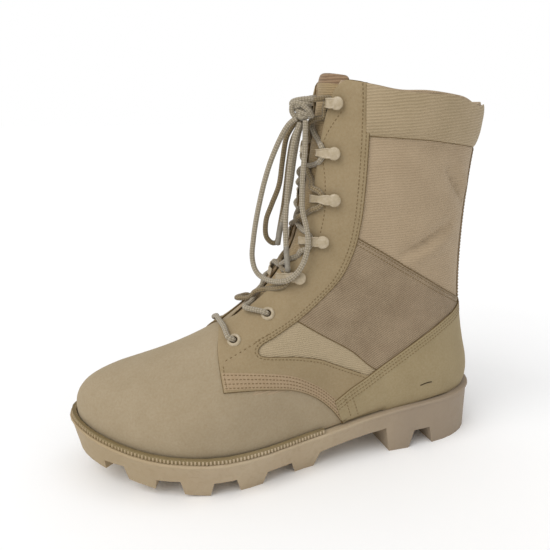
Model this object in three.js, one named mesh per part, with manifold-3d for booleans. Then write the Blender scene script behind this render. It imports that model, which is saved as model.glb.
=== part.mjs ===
// Combat boot, left foot: an eight-inch-plus lace-up boot with a lugged one-piece rubber sole.
// Millimetres. The toe points to -X, the heel to +X, the outer side of the foot to -Y, +Z is up.
// The origin is on the floor, under the middle of the boot.
import * as THREE from 'three';
import { mergeVertices } from 'three/addons/utils/BufferGeometryUtils.js';
import Module from 'manifold-3d';

// ---------------------------------------------------------------- driving sizes
const FIT_GAP = 0.3; // air between pieces that touch
const TOE_X = -153; // foremost point of the sole
const HEEL_X = 153; // rearmost point of the sole
const TOE_ROUND = 54; // length over which the toe rounds off
const HEEL_ROUND = 44; // length over which the heel rounds off
const RIM_WIDTH = 5.2; // ledge of the sole outside the upper
const TOE_SPRING = 20; // lift of the tread at the tip of the toe
const SPRING_FROM = -62; // the tread lifts off the floor in front of this place
const WALL = 2.2; // leather or nylon with its lining
const COLLAR_PAD = 5.5; // extra thickness of the padded collar
const INSOLE_THICK = 4;
const TONGUE_THICK = 3.2;
const TONGUE_GAP = 0.5;

// Sole outline from above: place along the foot, half-width, sideways shift of the middle line, and how
// far the side wall leans in from rim to ground.
const OUTLINE = [
  { x: -153, half: 45, mid: 17, draft: 6 },
  { x: -120, half: 48.5, mid: 9.6, draft: 8 },
  { x: -90, half: 53.5, mid: 2.6, draft: 8.5 },
  { x: -61, half: 56, mid: -0.5, draft: 8.5 },
  { x: -30, half: 51.5, mid: -1, draft: 9 },
  { x: 0, half: 44.5, mid: 0.5, draft: 9.5 },
  { x: 40, half: 40, mid: 3, draft: 7.5 },
  { x: 80, half: 39.5, mid: 4, draft: 4.5 },
  { x: 115, half: 36.5, mid: 5, draft: 3.5 },
  { x: 153, half: 33, mid: 6, draft: 1.5 },
];

// Height of the rim, where the upper meets the sole.
const RIM = [
  { x: -153, z: 42 },
  { x: -136, z: 36.5 },
  { x: -112, z: 31 },
  { x: -76, z: 27 },
  { x: -40, z: 26 },
  { x: 0, z: 26.8 },
  { x: 28, z: 28.8 },
  { x: 52, z: 32.5 },
  { x: 80, z: 35.8 },
  { x: 153, z: 37.5 },
];

// Sections of the upper from feather edge to collar. Each runs from a point on the front line (fx, fz)
// to one on the back line (bx, bz). nose and heel are the lengths over which its ends round off, and
// fore, waist and rear scale the outline's width at the ball, the waist and the heel.
const SECTIONS = [
  { name: 'feather', fx: -147.8, fz: 42, bx: 147.8, bz: 38, nose: 54, heel: 44, fore: 1, waist: 1, rear: 1 },
  { name: 'bulge', fx: -148.6, fz: 54, bx: 149.5, bz: 47, nose: 62, heel: 44, fore: 1.03, waist: 1, rear: 1.04 },
  { name: 'toe box', fx: -141, fz: 68, bx: 148.5, bz: 59, nose: 94, heel: 45, fore: 1.02, waist: 0.96, rear: 1.02 },
  { name: 'vamp low', fx: -121, fz: 79, bx: 145.5, bz: 70, nose: 135, heel: 47, fore: 1, waist: 0.92, rear: 0.97 },
  { name: 'vamp high', fx: -87, fz: 88, bx: 143, bz: 82, nose: 145, heel: 49, fore: 0.96, waist: 0.88, rear: 0.93 },
  { name: 'throat', fx: -48, fz: 103, bx: 140.5, bz: 96, nose: 100, heel: 51, fore: 0.9, waist: 0.86, rear: 0.91 },
  { name: 'instep', fx: -19, fz: 125, bx: 138.5, bz: 116, nose: 76, heel: 53, fore: 0.87, waist: 0.85, rear: 0.92 },
  { name: 'ankle', fx: 1, fz: 152, bx: 137.5, bz: 141, nose: 64, heel: 55, fore: 0.87, waist: 0.89, rear: 0.97 },
  { name: 'shaft low', fx: 10, fz: 184, bx: 138, bz: 173, nose: 60, heel: 57, fore: 0.92, waist: 0.98, rear: 1.06 },
  { name: 'shaft high', fx: 16, fz: 224, bx: 141, bz: 212, nose: 62, heel: 60, fore: 0.98, waist: 1.12, rear: 1.21 },
  { name: 'collar', fx: 22, fz: 266, bx: 147, bz: 251, nose: 64, heel: 62, fore: 1.02, waist: 1.25, rear: 1.34 },
];
const THROAT_ROW = 5; // the lacing opening starts at this section
const LEVELS_PER_ROW = 2;
const SIDE_COLUMNS = 18; // from the front line to the back line on each side

// Half-width of the lacing opening, by section number.
const OPENING = [
  { x: 5, half: 0 },
  { x: 5.5, half: 6.5 },
  { x: 7, half: 10 },
  { x: 8, half: 12 },
  { x: 9.5, half: 14 },
  { x: 10, half: 20 },
];

// ---------------------------------------------------------------- sole tread, lacing and cord sizes
const OUTLINE_STEPS = 64; // points once round the sole
const LIP_HEIGHT = 3; // the rim's small overhanging lip
const LIP_INSET = 1.2;
const LUG_DEPTH = 9.5; // forefoot tread
const HEEL_LUG_DEPTH = 14;
const GROOVE_WIDTH = 7; // middle channel between outer and inner lugs
const WELT_WIDTH = 2.7;
const WELT_HEIGHT = 3.2;
const WELT_INSET = 1.6; // ledge of the rim outside the welt
const WELT_END_X = 28; // the welt runs from here round the toe and back

// Channels across the tread: middle at the edge, half-widths at the ground and at the top, roof, and how
// far the channel turns back towards the middle line.
const CHANNELS = [
  { name: 'toe', x: -131, ground: 10, top: 8, roof: 21, turn: 38 },
  { name: 'ball front', x: -94, ground: 10, top: 8, roof: 14, turn: 20 },
  { name: 'ball rear', x: -58, ground: 9.8, top: 7.4, roof: 11, turn: 12 },
  { name: 'tread rear', x: -18.5, ground: 11.8, top: 9, roof: 10, turn: 8 },
  { name: 'heel', x: 97, ground: 10, top: 6.8, roof: 14, turn: 0 },
];
// Grooves along the middle of the forefoot and of the heel.
const GROOVES = [
  { front: -112, rear: 8, roof: 8.2 },
  { front: 74, rear: 128, roof: 10 },
];
// The arch is cut out between these places, higher towards the heel.
const ARCH = { front: 9, rear: 70.5, frontTop: 13.5, rearTop: 66, frontRoof: 11.8, rearRoof: 20.5 };

// Lacing places on the outer side, from the throat up. They are mirrored on the inner side.
const EYELETS = [
  { x: -44.3, z: 97.2 },
  { x: -20.1, z: 112.7 },
];
const HOOKS = [
  { x: 3.3, z: 134.9 },
  { x: 19, z: 159.9 },
  { x: 26, z: 188.2 },
  { x: 26.5, z: 218.2 },
  { x: 28.6, z: 249.5 },
];
const EYELET_OUTER = 4.8; // radius of the flange
const EYELET_HOLE = 2.5;
const HOOK_DISC = 5; // radius of the round head
const HOOK_ARM = 2.2; // half-width of the arm
const HOOK_PLATE = 1; // sheet thickness
const LACE = 3.6; // diameter of the round braided lace
const LACE_SIDES = 8;
const LACE_LIFT = 2.4; // its middle line above the leather

// Free cords, each a route of points from the knot out.
const KNOT = { x: 9, y: -4, z: 248.5 };
const KNOT_SIZE = { x: 7, y: 6.5, z: 5 }; // half-sizes
// The two strands' last stretch, from the top hook to the knot, on the outer (-1) and inner (1) side.
const KNOT_LEADS = {
  [-1]: {
    leave: { row: 9.79, offset: -12.2, lift: 3.4 },
    arrive: { row: 9.7, offset: -11.8, lift: 8.2 },
  },
  1: {
    leave: { row: 9.8, offset: 10.5, lift: 3.4 },
    arrive: { row: 9.7, offset: 1, lift: 8 },
  },
};

// Each route is a list of [x, y, z]. The loops leave the knot and come back to it.
const CORD_ROUTES = {
  lace_loop_outer: [
    [4, -6, 240.5], [-1, -4, 236], [-6, -2, 227], [-12, -1, 213], [-16, 0, 200], [-19, 1, 187],
    [-22, 1, 173], [-24, 1, 160], [-25, 1, 149], [-24, -1, 140.5], [-21, -5, 135.5], [-16, -14.5, 134],
    [-8.5, -22.5, 135.5], [-1.5, -25, 141], [4, -24, 149], [7, -23, 160.5], [6.5, -20, 171], [5, -16.5, 181.5],
    [5.5, -14, 192], [6.5, -12.5, 206], [8, -11.5, 219], [8.5, -10.5, 231], [9, -9.5, 239],
  ],
  lace_loop_inner: [
    [8, 0.5, 240.5], [3, 3, 233], [0, 4, 226], [-2, 5, 212], [-4, 6, 196], [-9, 7, 182.5], [-13, 7, 172],
    [-13, 8, 161], [-9, 8, 155.5], [-5, 7.5, 156], [-3, 9, 163], [-1, 10, 172], [1, 10, 184],
    [2.5, 9.5, 198], [4, 9, 212], [6, 7, 226], [10.5, 4, 237],
  ],
  lace_end_outer: [
    [6, -7, 237.5], [2.5, -8, 229], [0, -8, 217], [-2, -8, 200], [-3.5, -8, 181], [-4.5, -9.5, 169],
    [-5, -13, 155], [-5.5, -18, 142],
  ],
  lace_end_inner: [
    [9.5, -3.5, 239.5], [6.5, -3, 230], [4, -1.5, 214], [2, -1, 198], [-0.5, -0.5, 184],
    [-3, -0.5, 174], [-5.5, -0.5, 165], [-7, -1, 157],
  ],
};
const CORD_STEPS = { lace_loop_outer: 28, lace_loop_inner: 22, lace_end_outer: 12, lace_end_inner: 12 };

// ---------------------------------------------------------------- small maths helpers
const clamp = (value, low, high) => Math.min(high, Math.max(low, value));
const mix = (from, to, share) => from + (to - from) * share;

// Smooth curve through the rows of a table, read at x.
function along(table, key, x, at = 'x') {
  const last = table.length - 1;
  const place = (row) => (at === 'row' ? row : table[row][at]);
  let row = 0;
  while (row < last - 1 && x > place(row + 1)) row += 1;
  const slope = (i) => {
    const a = Math.max(0, i - 1);
    const b = Math.min(last, i + 1);
    return (table[b][key] - table[a][key]) / (place(b) - place(a));
  };
  const span = place(row + 1) - place(row);
  const t = clamp((x - place(row)) / span, 0, 1);
  const h = t * t * (3 - 2 * t);
  const start = table[row][key];
  const end = table[row + 1][key];
  return mix(start, end, h) + span * (t * (1 - t) * (1 - t) * slope(row) - t * t * (1 - t) * slope(row + 1));
}

// Rounded end of a form: 0 at the tip, 1 from the given depth on.
function roundEnd(distance, depth) {
  const rest = 1 - clamp(distance / depth, 0, 1);
  return Math.sqrt(Math.max(0, 1 - rest * rest));
}

// ---------------------------------------------------------------- the form of the boot
const rimHeight = (x) => along(RIM, 'z', x);
const midLine = (x) => along(OUTLINE, 'mid', x);
const fullness = (x) => along(OUTLINE, 'half', x);
const draft = (x) => along(OUTLINE, 'draft', x);
const treadHeight = (x) => TOE_SPRING * Math.pow(Math.max(0, (SPRING_FROM - x) / (SPRING_FROM - TOE_X)), 1.5);

// Point of the sole outline, moved in by inset. turn runs once round, from the toe tip over the outer side.
function outlinePoint(turn, inset) {
  const insetAt = typeof inset === 'function' ? inset : () => inset;
  const front = TOE_X + insetAt(TOE_X);
  const rear = HEEL_X - insetAt(HEEL_X);
  const share = (1 - Math.cos(2 * Math.PI * turn)) / 2;
  const x = mix(front, rear, share);
  const ends = roundEnd(x - front, TOE_ROUND) * roundEnd(rear - x, HEEL_ROUND);
  const side = turn <= 0.5 ? -1 : 1;
  return { x, y: midLine(x) + side * (fullness(x) - insetAt(x)) * ends };
}

// One section of the upper, read from the table at a fractional row number.
function sectionAt(row) {
  const section = {};
  for (const key of ['fx', 'fz', 'bx', 'bz', 'nose', 'heel', 'fore', 'waist', 'rear']) {
    section[key] = along(SECTIONS, key, row, 'row');
  }
  return section;
}

// Point on the outer surface of the upper. share runs from 0 on the front line to 1 on the back line.
function upperPoint(row, share, side) {
  const section = sectionAt(row);
  const x = mix(section.fx, section.bx, share);
  const straight = mix(section.fz, section.bz, share);
  const feather = mix(SECTIONS[0].fz, SECTIONS[0].bz, share);
  const follow = Math.pow(clamp(1 - row / THROAT_ROW, 0, 1), 1.5);
  const z = straight + (rimHeight(x) + FIT_GAP - feather) * follow;
  const foreShare = THREE.MathUtils.smoothstep(10 - x, 0, 80);
  const rearShare = THREE.MathUtils.smoothstep(x - 10, 0, 80);
  const scale = section.waist + (section.fore - section.waist) * foreShare + (section.rear - section.waist) * rearShare;
  const length = section.bx - section.fx;
  const ends = roundEnd(share * length, section.nose) * roundEnd((1 - share) * length, section.heel);
  const half = (fullness(x) - RIM_WIDTH) * scale * ends;
  return new THREE.Vector3(x, midLine(x) + side * half, z);
}

// Share at which a section is as wide as the lacing opening.
function openingShare(row) {
  const wanted = row <= THROAT_ROW ? 0 : along(OPENING, 'half', row);
  let low = 0;
  let high = 0.4;
  for (let step = 0; step < 30; step += 1) {
    const middle = (low + high) / 2;
    const point = upperPoint(row, middle, 1);
    if (point.y - midLine(point.x) < wanted) low = middle;
    else high = middle;
  }
  return wanted === 0 ? 0 : low;
}

// ---------------------------------------------------------------- mesh helpers
// A closed mesh from quads over numbered points.
function geometryFrom(points, triangles) {
  const geometry = new THREE.BufferGeometry();
  geometry.setAttribute('position', new THREE.Float32BufferAttribute(points.flatMap((p) => [p.x, p.y, p.z]), 3));
  geometry.setIndex(triangles.flat());
  return geometry;
}

const quad = (a, b, c, d) => [[a, b, c], [a, c, d]];

// The outer skin of the upper as rows of points, from the outer front edge round the back to the inner one.
function upperRows(firstRow, lastRow, levels) {
  const rows = [];
  for (let level = 0; level <= levels; level += 1) {
    const row = mix(firstRow, lastRow, level / levels);
    const start = openingShare(row);
    const ring = [];
    for (let column = 0; column <= 2 * SIDE_COLUMNS; column += 1) {
      const fromFront = column <= SIDE_COLUMNS ? column : 2 * SIDE_COLUMNS - column;
      const eased = (1 - Math.cos((Math.PI * fromFront) / SIDE_COLUMNS)) / 2;
      const side = column <= SIDE_COLUMNS ? -1 : 1;
      ring.push(upperPoint(row, mix(start, 1, eased), side));
    }
    rows.push(ring);
  }
  return rows;
}

// Inward direction at a grid point, from its neighbours.
function inwardAt(rows, level, column, closed) {
  const last = rows[level].length - 1;
  const ring = rows[level];
  const before = column > 0 ? ring[column - 1] : ring[closed ? last - 1 : 0];
  const after = column < last ? ring[column + 1] : ring[closed ? 1 : last];
  const below = rows[Math.max(0, level - 1)][column];
  const above = rows[Math.min(rows.length - 1, level + 1)][column];
  const across = new THREE.Vector3().subVectors(after, before);
  const up = new THREE.Vector3().subVectors(above, below);
  return across.cross(up).normalize().negate();
}

// ---------------------------------------------------------------- upper
function collarPad(row, share) {
  const high = clamp((row - 8.9) / 0.35, 0, 1) * clamp((10.05 - row) / 0.25, 0, 1);
  const behindStay = clamp((share - 0.24) / 0.12, 0, 1);
  return COLLAR_PAD * high * behindStay;
}

function makeUpper() {
  const lastRow = SECTIONS.length - 1;
  const levels = lastRow * LEVELS_PER_ROW;
  const rows = upperRows(0, lastRow, levels);
  const throatLevel = THROAT_ROW * LEVELS_PER_ROW;
  const last = 2 * SIDE_COLUMNS;
  const points = [];
  const outer = [];
  const inner = [];
  for (let level = 0; level <= levels; level += 1) {
    const closed = level <= throatLevel;
    const row = (level / levels) * lastRow;
    outer.push([]);
    inner.push([]);
    for (let column = 0; column <= last; column += 1) {
      if (closed && column === last) {
        outer[level].push(outer[level][0]);
        inner[level].push(inner[level][0]);
        continue;
      }
      const point = rows[level][column];
      const fromFront = column <= SIDE_COLUMNS ? column : last - column;
      const thick = WALL + collarPad(row, fromFront / SIDE_COLUMNS);
      const inward = inwardAt(rows, level, column, closed);
      if (level === 0) inward.setZ(0).normalize();
      outer[level].push(points.push(point) - 1);
      inner[level].push(points.push(point.clone().addScaledVector(inward, thick)) - 1);
    }
  }
  const triangles = [];
  for (let level = 0; level < levels; level += 1) {
    for (let column = 0; column < last; column += 1) {
      const a = level;
      const b = level + 1;
      const c = column;
      const d = column + 1;
      triangles.push(...quad(outer[a][c], outer[a][d], outer[b][d], outer[b][c]));
      triangles.push(...quad(inner[a][c], inner[b][c], inner[b][d], inner[a][d]));
    }
  }
  for (let column = 0; column < last; column += 1) {
    const c = column;
    const d = column + 1;
    triangles.push(...quad(outer[0][c], inner[0][c], inner[0][d], outer[0][d]));
    triangles.push(...quad(outer[levels][c], outer[levels][d], inner[levels][d], inner[levels][c]));
  }
  for (let level = throatLevel; level < levels; level += 1) {
    const a = level;
    const b = level + 1;
    triangles.push(...quad(outer[a][0], outer[b][0], inner[b][0], inner[a][0]));
    triangles.push(...quad(outer[a][last], inner[a][last], inner[b][last], outer[b][last]));
  }
  return geometryFrom(points, triangles);
}

// ---------------------------------------------------------------- solids for cutting and joining
const manifold = await Module();
manifold.setup();

function toSolid(geometry) {
  const bare = geometry.clone();
  bare.deleteAttribute('normal');
  bare.deleteAttribute('uv');
  const merged = mergeVertices(bare, 1e-4);
  const vertProperties = new Float32Array(merged.attributes.position.array);
  const triVerts = new Uint32Array(merged.index.array);
  return new manifold.Manifold(new manifold.Mesh({ numProp: 3, vertProperties, triVerts }));
}

function toGeometry(solid) {
  const mesh = solid.getMesh();
  const geometry = new THREE.BufferGeometry();
  geometry.setAttribute('position', new THREE.BufferAttribute(new Float32Array(mesh.vertProperties), 3));
  geometry.setIndex(new THREE.BufferAttribute(new Uint32Array(mesh.triVerts), 1));
  return geometry;
}

// ---------------------------------------------------------------- outsole, welt and insole
// A body over the sole outline. layers run from the top down, each with an inset and a height for each x.
function outlineBody(layers) {
  const points = [];
  const rings = layers.map(({ inset, height }) => {
    const ring = [];
    for (let step = 0; step < OUTLINE_STEPS; step += 1) {
      const { x, y } = outlinePoint(step / OUTLINE_STEPS, inset);
      ring.push(points.push(new THREE.Vector3(x, y, height(x))) - 1);
    }
    return ring;
  });
  const triangles = [];
  const next = (step) => (step + 1) % OUTLINE_STEPS;
  for (let layer = 0; layer < rings.length - 1; layer += 1) {
    for (let step = 0; step < OUTLINE_STEPS; step += 1) {
      const upper = rings[layer];
      const lower = rings[layer + 1];
      triangles.push(...quad(lower[step], lower[next(step)], upper[next(step)], upper[step]));
    }
  }
  const top = rings[0];
  const bottom = rings[rings.length - 1];
  const half = OUTLINE_STEPS / 2;
  for (let step = 0; step < half; step += 1) {
    const mirror = next(OUTLINE_STEPS - step - 1);
    const mirrorNext = OUTLINE_STEPS - step - 1;
    if (step === 0) {
      triangles.push([top[0], top[1], top[mirrorNext]]);
      triangles.push([bottom[0], bottom[mirrorNext], bottom[1]]);
    } else if (step === half - 1) {
      triangles.push([top[step], top[half], top[mirror]]);
      triangles.push([bottom[step], bottom[mirror], bottom[half]]);
    } else {
      triangles.push(...quad(top[step], top[step + 1], top[mirrorNext], top[mirror]));
      triangles.push(...quad(bottom[step], bottom[mirror], bottom[mirrorNext], bottom[step + 1]));
    }
  }
  return geometryFrom(points, triangles);
}

// A channel prism: a trapezoid section pushed in from the edge of the sole towards its middle line.
function channelSolid(channel, side) {
  const shape = new THREE.Shape([
    new THREE.Vector2(-channel.ground - 0.6, -1),
    new THREE.Vector2(channel.ground + 0.6, -1),
    new THREE.Vector2(channel.top, channel.roof),
    new THREE.Vector2(-channel.top, channel.roof),
  ]);
  const edge = fullness(channel.x) - draft(channel.x);
  const inward = edge - GROOVE_WIDTH / 2;
  const geometry = new THREE.ExtrudeGeometry(shape, { depth: inward + 20, bevelEnabled: false });
  geometry.rotateX(Math.PI / 2); // section upright, pushed along -Y
  geometry.translate(0, inward, 0);
  geometry.rotateZ((-channel.turn * Math.PI) / 180);
  if (side > 0) geometry.scale(1, -1, 1);
  const placed = geometry.index ? geometry.toNonIndexed() : geometry;
  if (side > 0) flipFaces(placed);
  placed.translate(channel.x, midLine(channel.x) + side * edge, 0);
  return toSolid(placed);
}

// The middle groove: a channel under the middle line from one place to another.
function grooveSolid({ front, rear, roof }) {
  const outline = [];
  const steps = 6;
  for (let step = 0; step <= steps; step += 1) {
    const x = mix(front, rear, step / steps);
    outline.push(new THREE.Vector2(x, midLine(x) - GROOVE_WIDTH / 2));
  }
  for (let step = steps; step >= 0; step -= 1) {
    const x = mix(front, rear, step / steps);
    outline.push(new THREE.Vector2(x, midLine(x) + GROOVE_WIDTH / 2));
  }
  const geometry = new THREE.ExtrudeGeometry(new THREE.Shape(outline), { depth: roof + 1, bevelEnabled: false });
  geometry.translate(0, 0, -1);
  return toSolid(geometry);
}

function flipFaces(geometry) {
  const array = geometry.attributes.position.array;
  for (let i = 0; i < array.length; i += 9) {
    for (let k = 0; k < 3; k += 1) {
      const keep = array[i + 3 + k];
      array[i + 3 + k] = array[i + 6 + k];
      array[i + 6 + k] = keep;
    }
  }
}

function makeOutsole() {
  const drop = (fall) => (x) => rimHeight(x) - fall;
  let sole = toSolid(
    outlineBody([
      { inset: 0.4, height: drop(0) },
      { inset: 0, height: drop(LIP_HEIGHT / 2) },
      { inset: LIP_INSET, height: drop(LIP_HEIGHT) },
      { inset: draft, height: treadHeight },
    ]),
  );
  for (const channel of CHANNELS) {
    sole = sole.subtract(channelSolid(channel, -1));
    sole = sole.subtract(channelSolid(channel, 1));
  }
  for (const groove of GROOVES) sole = sole.subtract(grooveSolid(groove));
  const arch = new THREE.Shape([
    new THREE.Vector2(ARCH.front, -1),
    new THREE.Vector2(ARCH.rear, -1),
    new THREE.Vector2(ARCH.rearTop, ARCH.rearRoof),
    new THREE.Vector2(ARCH.frontTop, ARCH.frontRoof),
  ]);
  const archCut = new THREE.ExtrudeGeometry(arch, { depth: 160, bevelEnabled: false });
  archCut.rotateX(Math.PI / 2);
  archCut.translate(0, 80, 0);
  sole = sole.subtract(toSolid(archCut));
  return toGeometry(sole);
}

// The welt: a rubber strip on the rim, from the arch round the toe to the arch again.
function makeWelt() {
  const outer = WELT_INSET;
  const inner = WELT_INSET + WELT_WIDTH;
  const points = [];
  const stations = [];
  for (let step = -OUTLINE_STEPS / 2; step <= OUTLINE_STEPS / 2; step += 1) {
    const turn = step / OUTLINE_STEPS;
    const wrapped = turn < 0 ? turn + 1 : turn;
    const edge = outlinePoint(wrapped, outer);
    if (edge.x > WELT_END_X) continue;
    const inside = outlinePoint(wrapped, inner);
    const low = FIT_GAP;
    const high = FIT_GAP + WELT_HEIGHT;
    const corner = (p, lift) => points.push(new THREE.Vector3(p.x, p.y, rimHeight(p.x) + lift)) - 1;
    stations.push([corner(edge, low), corner(edge, high), corner(inside, high), corner(inside, low)]);
  }
  const triangles = [];
  for (let i = 0; i < stations.length - 1; i += 1) {
    const here = stations[i];
    const there = stations[i + 1];
    for (let k = 0; k < 4; k += 1) {
      const n = (k + 1) % 4;
      triangles.push(...quad(here[k], here[n], there[n], there[k]));
    }
  }
  const first = stations[0];
  const last = stations[stations.length - 1];
  triangles.push(...quad(first[0], first[3], first[2], first[1]));
  triangles.push(...quad(last[0], last[1], last[2], last[3]));
  return geometryFrom(points, triangles);
}

function makeInsole() {
  const inset = RIM_WIDTH + WALL + 1.2;
  return outlineBody([
    { inset: inset + 0.3, height: (x) => rimHeight(x) + FIT_GAP + INSOLE_THICK },
    { inset, height: (x) => rimHeight(x) + FIT_GAP + INSOLE_THICK / 2 },
    { inset, height: (x) => rimHeight(x) + FIT_GAP },
  ]);
}

// ---------------------------------------------------------------- places on the upper
// Share at which a section has the given half-width, counted from its front.
function shareAtHalf(row, half) {
  let low = 0;
  let high = 0.5;
  for (let step = 0; step < 26; step += 1) {
    const middle = (low + high) / 2;
    const point = upperPoint(row, middle, 1);
    if (point.y - midLine(point.x) < half) low = middle;
    else high = middle;
  }
  return (low + high) / 2;
}

// Point in front of the upper's closed form: offset is the signed distance from the middle line.
function frontPoint(row, offset, lift) {
  const at = (r, o) => upperPoint(r, shareAtHalf(r, Math.max(0.4, Math.abs(o))), o < 0 ? -1 : 1);
  const point = at(row, offset);
  point.y = midLine(point.x) + offset;
  const delta = 1.2;
  const across = new THREE.Vector3().subVectors(at(row, offset + delta), at(row, offset - delta));
  const up = new THREE.Vector3().subVectors(at(row + 0.05, offset), at(row - 0.05, offset));
  const normal = across.cross(up).normalize();
  if (normal.x > 0) normal.negate();
  return { point: point.addScaledVector(normal, lift), normal, up: up.normalize() };
}

// Row and half-width of the surface point that has this place in the side view.
function rowAndHalf(x, z) {
  let low = 0;
  let high = SECTIONS.length - 1;
  const share = (row) => {
    const section = sectionAt(row);
    return clamp((x - section.fx) / (section.bx - section.fx), 0, 1);
  };
  for (let step = 0; step < 30; step += 1) {
    const middle = (low + high) / 2;
    if (upperPoint(middle, share(middle), 1).z < z) low = middle;
    else high = middle;
  }
  const row = (low + high) / 2;
  const point = upperPoint(row, share(row), 1);
  return { row, half: point.y - midLine(point.x) };
}

// Half-width reached by walking a distance along the section towards the lacing opening.
function walkToFront(row, half, distance) {
  let walked = 0;
  let here = half;
  let last = frontPoint(row, here, 0).point;
  while (walked < distance && here > 1) {
    here -= 0.25;
    const point = frontPoint(row, here, 0).point;
    walked += point.distanceTo(last);
    last = point;
  }
  return here;
}

// Change of row number that moves a place up the front by this many millimetres.
function rowStep(row, offset, distance) {
  const above = frontPoint(row + 0.1, offset, 0).point;
  const below = frontPoint(row - 0.1, offset, 0).point;
  return (0.2 * distance) / above.distanceTo(below);
}

// ---------------------------------------------------------------- tongue
const TONGUE_ROWS = { first: 4.3, last: 10 };
const TONGUE_LEVELS = 14;
const TONGUE_COLUMNS = 12;
const TONGUE_RISE = 4; // the tongue stands this much above the eyestays

function makeTongue() {
  const outerGrid = [];
  for (let level = 0; level <= TONGUE_LEVELS; level += 1) {
    const row = mix(TONGUE_ROWS.first, TONGUE_ROWS.last, level / TONGUE_LEVELS);
    const spread = mix(17, 25, THREE.MathUtils.smoothstep(row, 4.5, 8));
    const ring = [];
    for (let column = 0; column <= TONGUE_COLUMNS; column += 1) {
      const across = (2 * column) / TONGUE_COLUMNS - 1;
      ring.push(frontPoint(row, across * spread, 0));
    }
    outerGrid.push(ring);
  }
  const points = [];
  const outer = [];
  const inner = [];
  outerGrid.forEach((ring, level) => {
    outer.push([]);
    inner.push([]);
    ring.forEach(({ point, normal }, column) => {
      const across = (2 * column) / TONGUE_COLUMNS - 1;
      const rise = level === TONGUE_LEVELS ? TONGUE_RISE * (1 - 0.35 * across * across) : 0;
      const front = point.clone().addScaledVector(normal, -(WALL + TONGUE_GAP));
      const back = point.clone().addScaledVector(normal, -(WALL + TONGUE_GAP + TONGUE_THICK));
      front.z += rise;
      back.z += rise;
      outer[level].push(points.push(front) - 1);
      inner[level].push(points.push(back) - 1);
    });
  });
  const triangles = [];
  for (let level = 0; level < TONGUE_LEVELS; level += 1) {
    for (let column = 0; column < TONGUE_COLUMNS; column += 1) {
      const a = level;
      const b = level + 1;
      const c = column;
      const d = column + 1;
      triangles.push(...quad(outer[a][c], outer[b][c], outer[b][d], outer[a][d]));
      triangles.push(...quad(inner[a][c], inner[a][d], inner[b][d], inner[b][c]));
    }
    const z = TONGUE_COLUMNS;
    const a = level;
    const b = level + 1;
    triangles.push(...quad(outer[a][0], inner[a][0], inner[b][0], outer[b][0]));
    triangles.push(...quad(outer[a][z], outer[b][z], inner[b][z], inner[a][z]));
  }
  for (let column = 0; column < TONGUE_COLUMNS; column += 1) {
    const c = column;
    const d = column + 1;
    const top = TONGUE_LEVELS;
    triangles.push(...quad(outer[0][c], outer[0][d], inner[0][d], inner[0][c]));
    triangles.push(...quad(outer[top][c], inner[top][c], inner[top][d], outer[top][d]));
  }
  return geometryFrom(points, triangles);
}

// ---------------------------------------------------------------- eyelets, hooks and lace
// Turns a shape made about the Y axis so that Y points along the normal at a place.
function standOn(geometry, place) {
  const turn = new THREE.Quaternion().setFromUnitVectors(new THREE.Vector3(0, 1, 0), place.normal);
  geometry.applyQuaternion(turn);
  geometry.translate(place.point.x, place.point.y, place.point.z);
  return geometry;
}

function makeEyelet(place) {
  const profile = [
    [EYELET_HOLE, 0.55],
    [EYELET_OUTER, 0.55],
    [EYELET_OUTER, 0.95],
    [EYELET_OUTER - 0.9, 1.4],
    [EYELET_HOLE + 0.5, 1.4],
    [EYELET_HOLE, 0.9],
    [EYELET_HOLE, 0.55],
  ].map(([radius, height]) => new THREE.Vector2(radius, height));
  return standOn(new THREE.LatheGeometry(profile, 18), place);
}

// A strip of sheet metal bent along a route, with its width across it.
function makeStrip(stations, halfWidth, thickness) {
  const points = [];
  const corners = stations.map(({ point, normal, across }) => {
    const corner = (side, lift) =>
      points.push(point.clone().addScaledVector(across, side * halfWidth).addScaledVector(normal, lift)) - 1;
    return [corner(-1, 0), corner(1, 0), corner(1, thickness), corner(-1, thickness)];
  });
  const triangles = [];
  for (let i = 0; i < corners.length - 1; i += 1) {
    for (let k = 0; k < 4; k += 1) {
      const n = (k + 1) % 4;
      triangles.push(...quad(corners[i][k], corners[i][n], corners[i + 1][n], corners[i + 1][k]));
    }
  }
  const last = corners[corners.length - 1];
  triangles.push(...quad(corners[0][0], corners[0][3], corners[0][2], corners[0][1]));
  triangles.push(...quad(last[0], last[1], last[2], last[3]));
  return geometryFrom(points, triangles);
}

function volumeOf(geometry) {
  const flat = geometry.index ? geometry.toNonIndexed() : geometry;
  const p = flat.attributes.position;
  const a = new THREE.Vector3();
  const b = new THREE.Vector3();
  const c = new THREE.Vector3();
  let sum = 0;
  for (let i = 0; i < p.count; i += 3) {
    a.fromBufferAttribute(p, i);
    b.fromBufferAttribute(p, i + 1);
    c.fromBufferAttribute(p, i + 2);
    sum += a.dot(b.cross(c)) / 6;
  }
  return sum;
}

// Faces pointing out, whichever way round the shape was drawn.
function outward(geometry) {
  if (volumeOf(geometry) > 0) return geometry;
  const flat = geometry.index ? geometry.toNonIndexed() : geometry;
  flipFaces(flat);
  return flat;
}

// Route of the hook's arm: walked distance from the disc towards the opening, and height above the leather.
const HOOK_ROUTE = [
  { walk: 14.5, height: 0.8 },
  { walk: 10.6, height: 0.8 },
  { walk: 8.9, height: 2.2 },
  { walk: 8.2, height: 4.5 },
  { walk: 4, height: 4.9 },
  { walk: 0, height: 4.4 },
];

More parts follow.
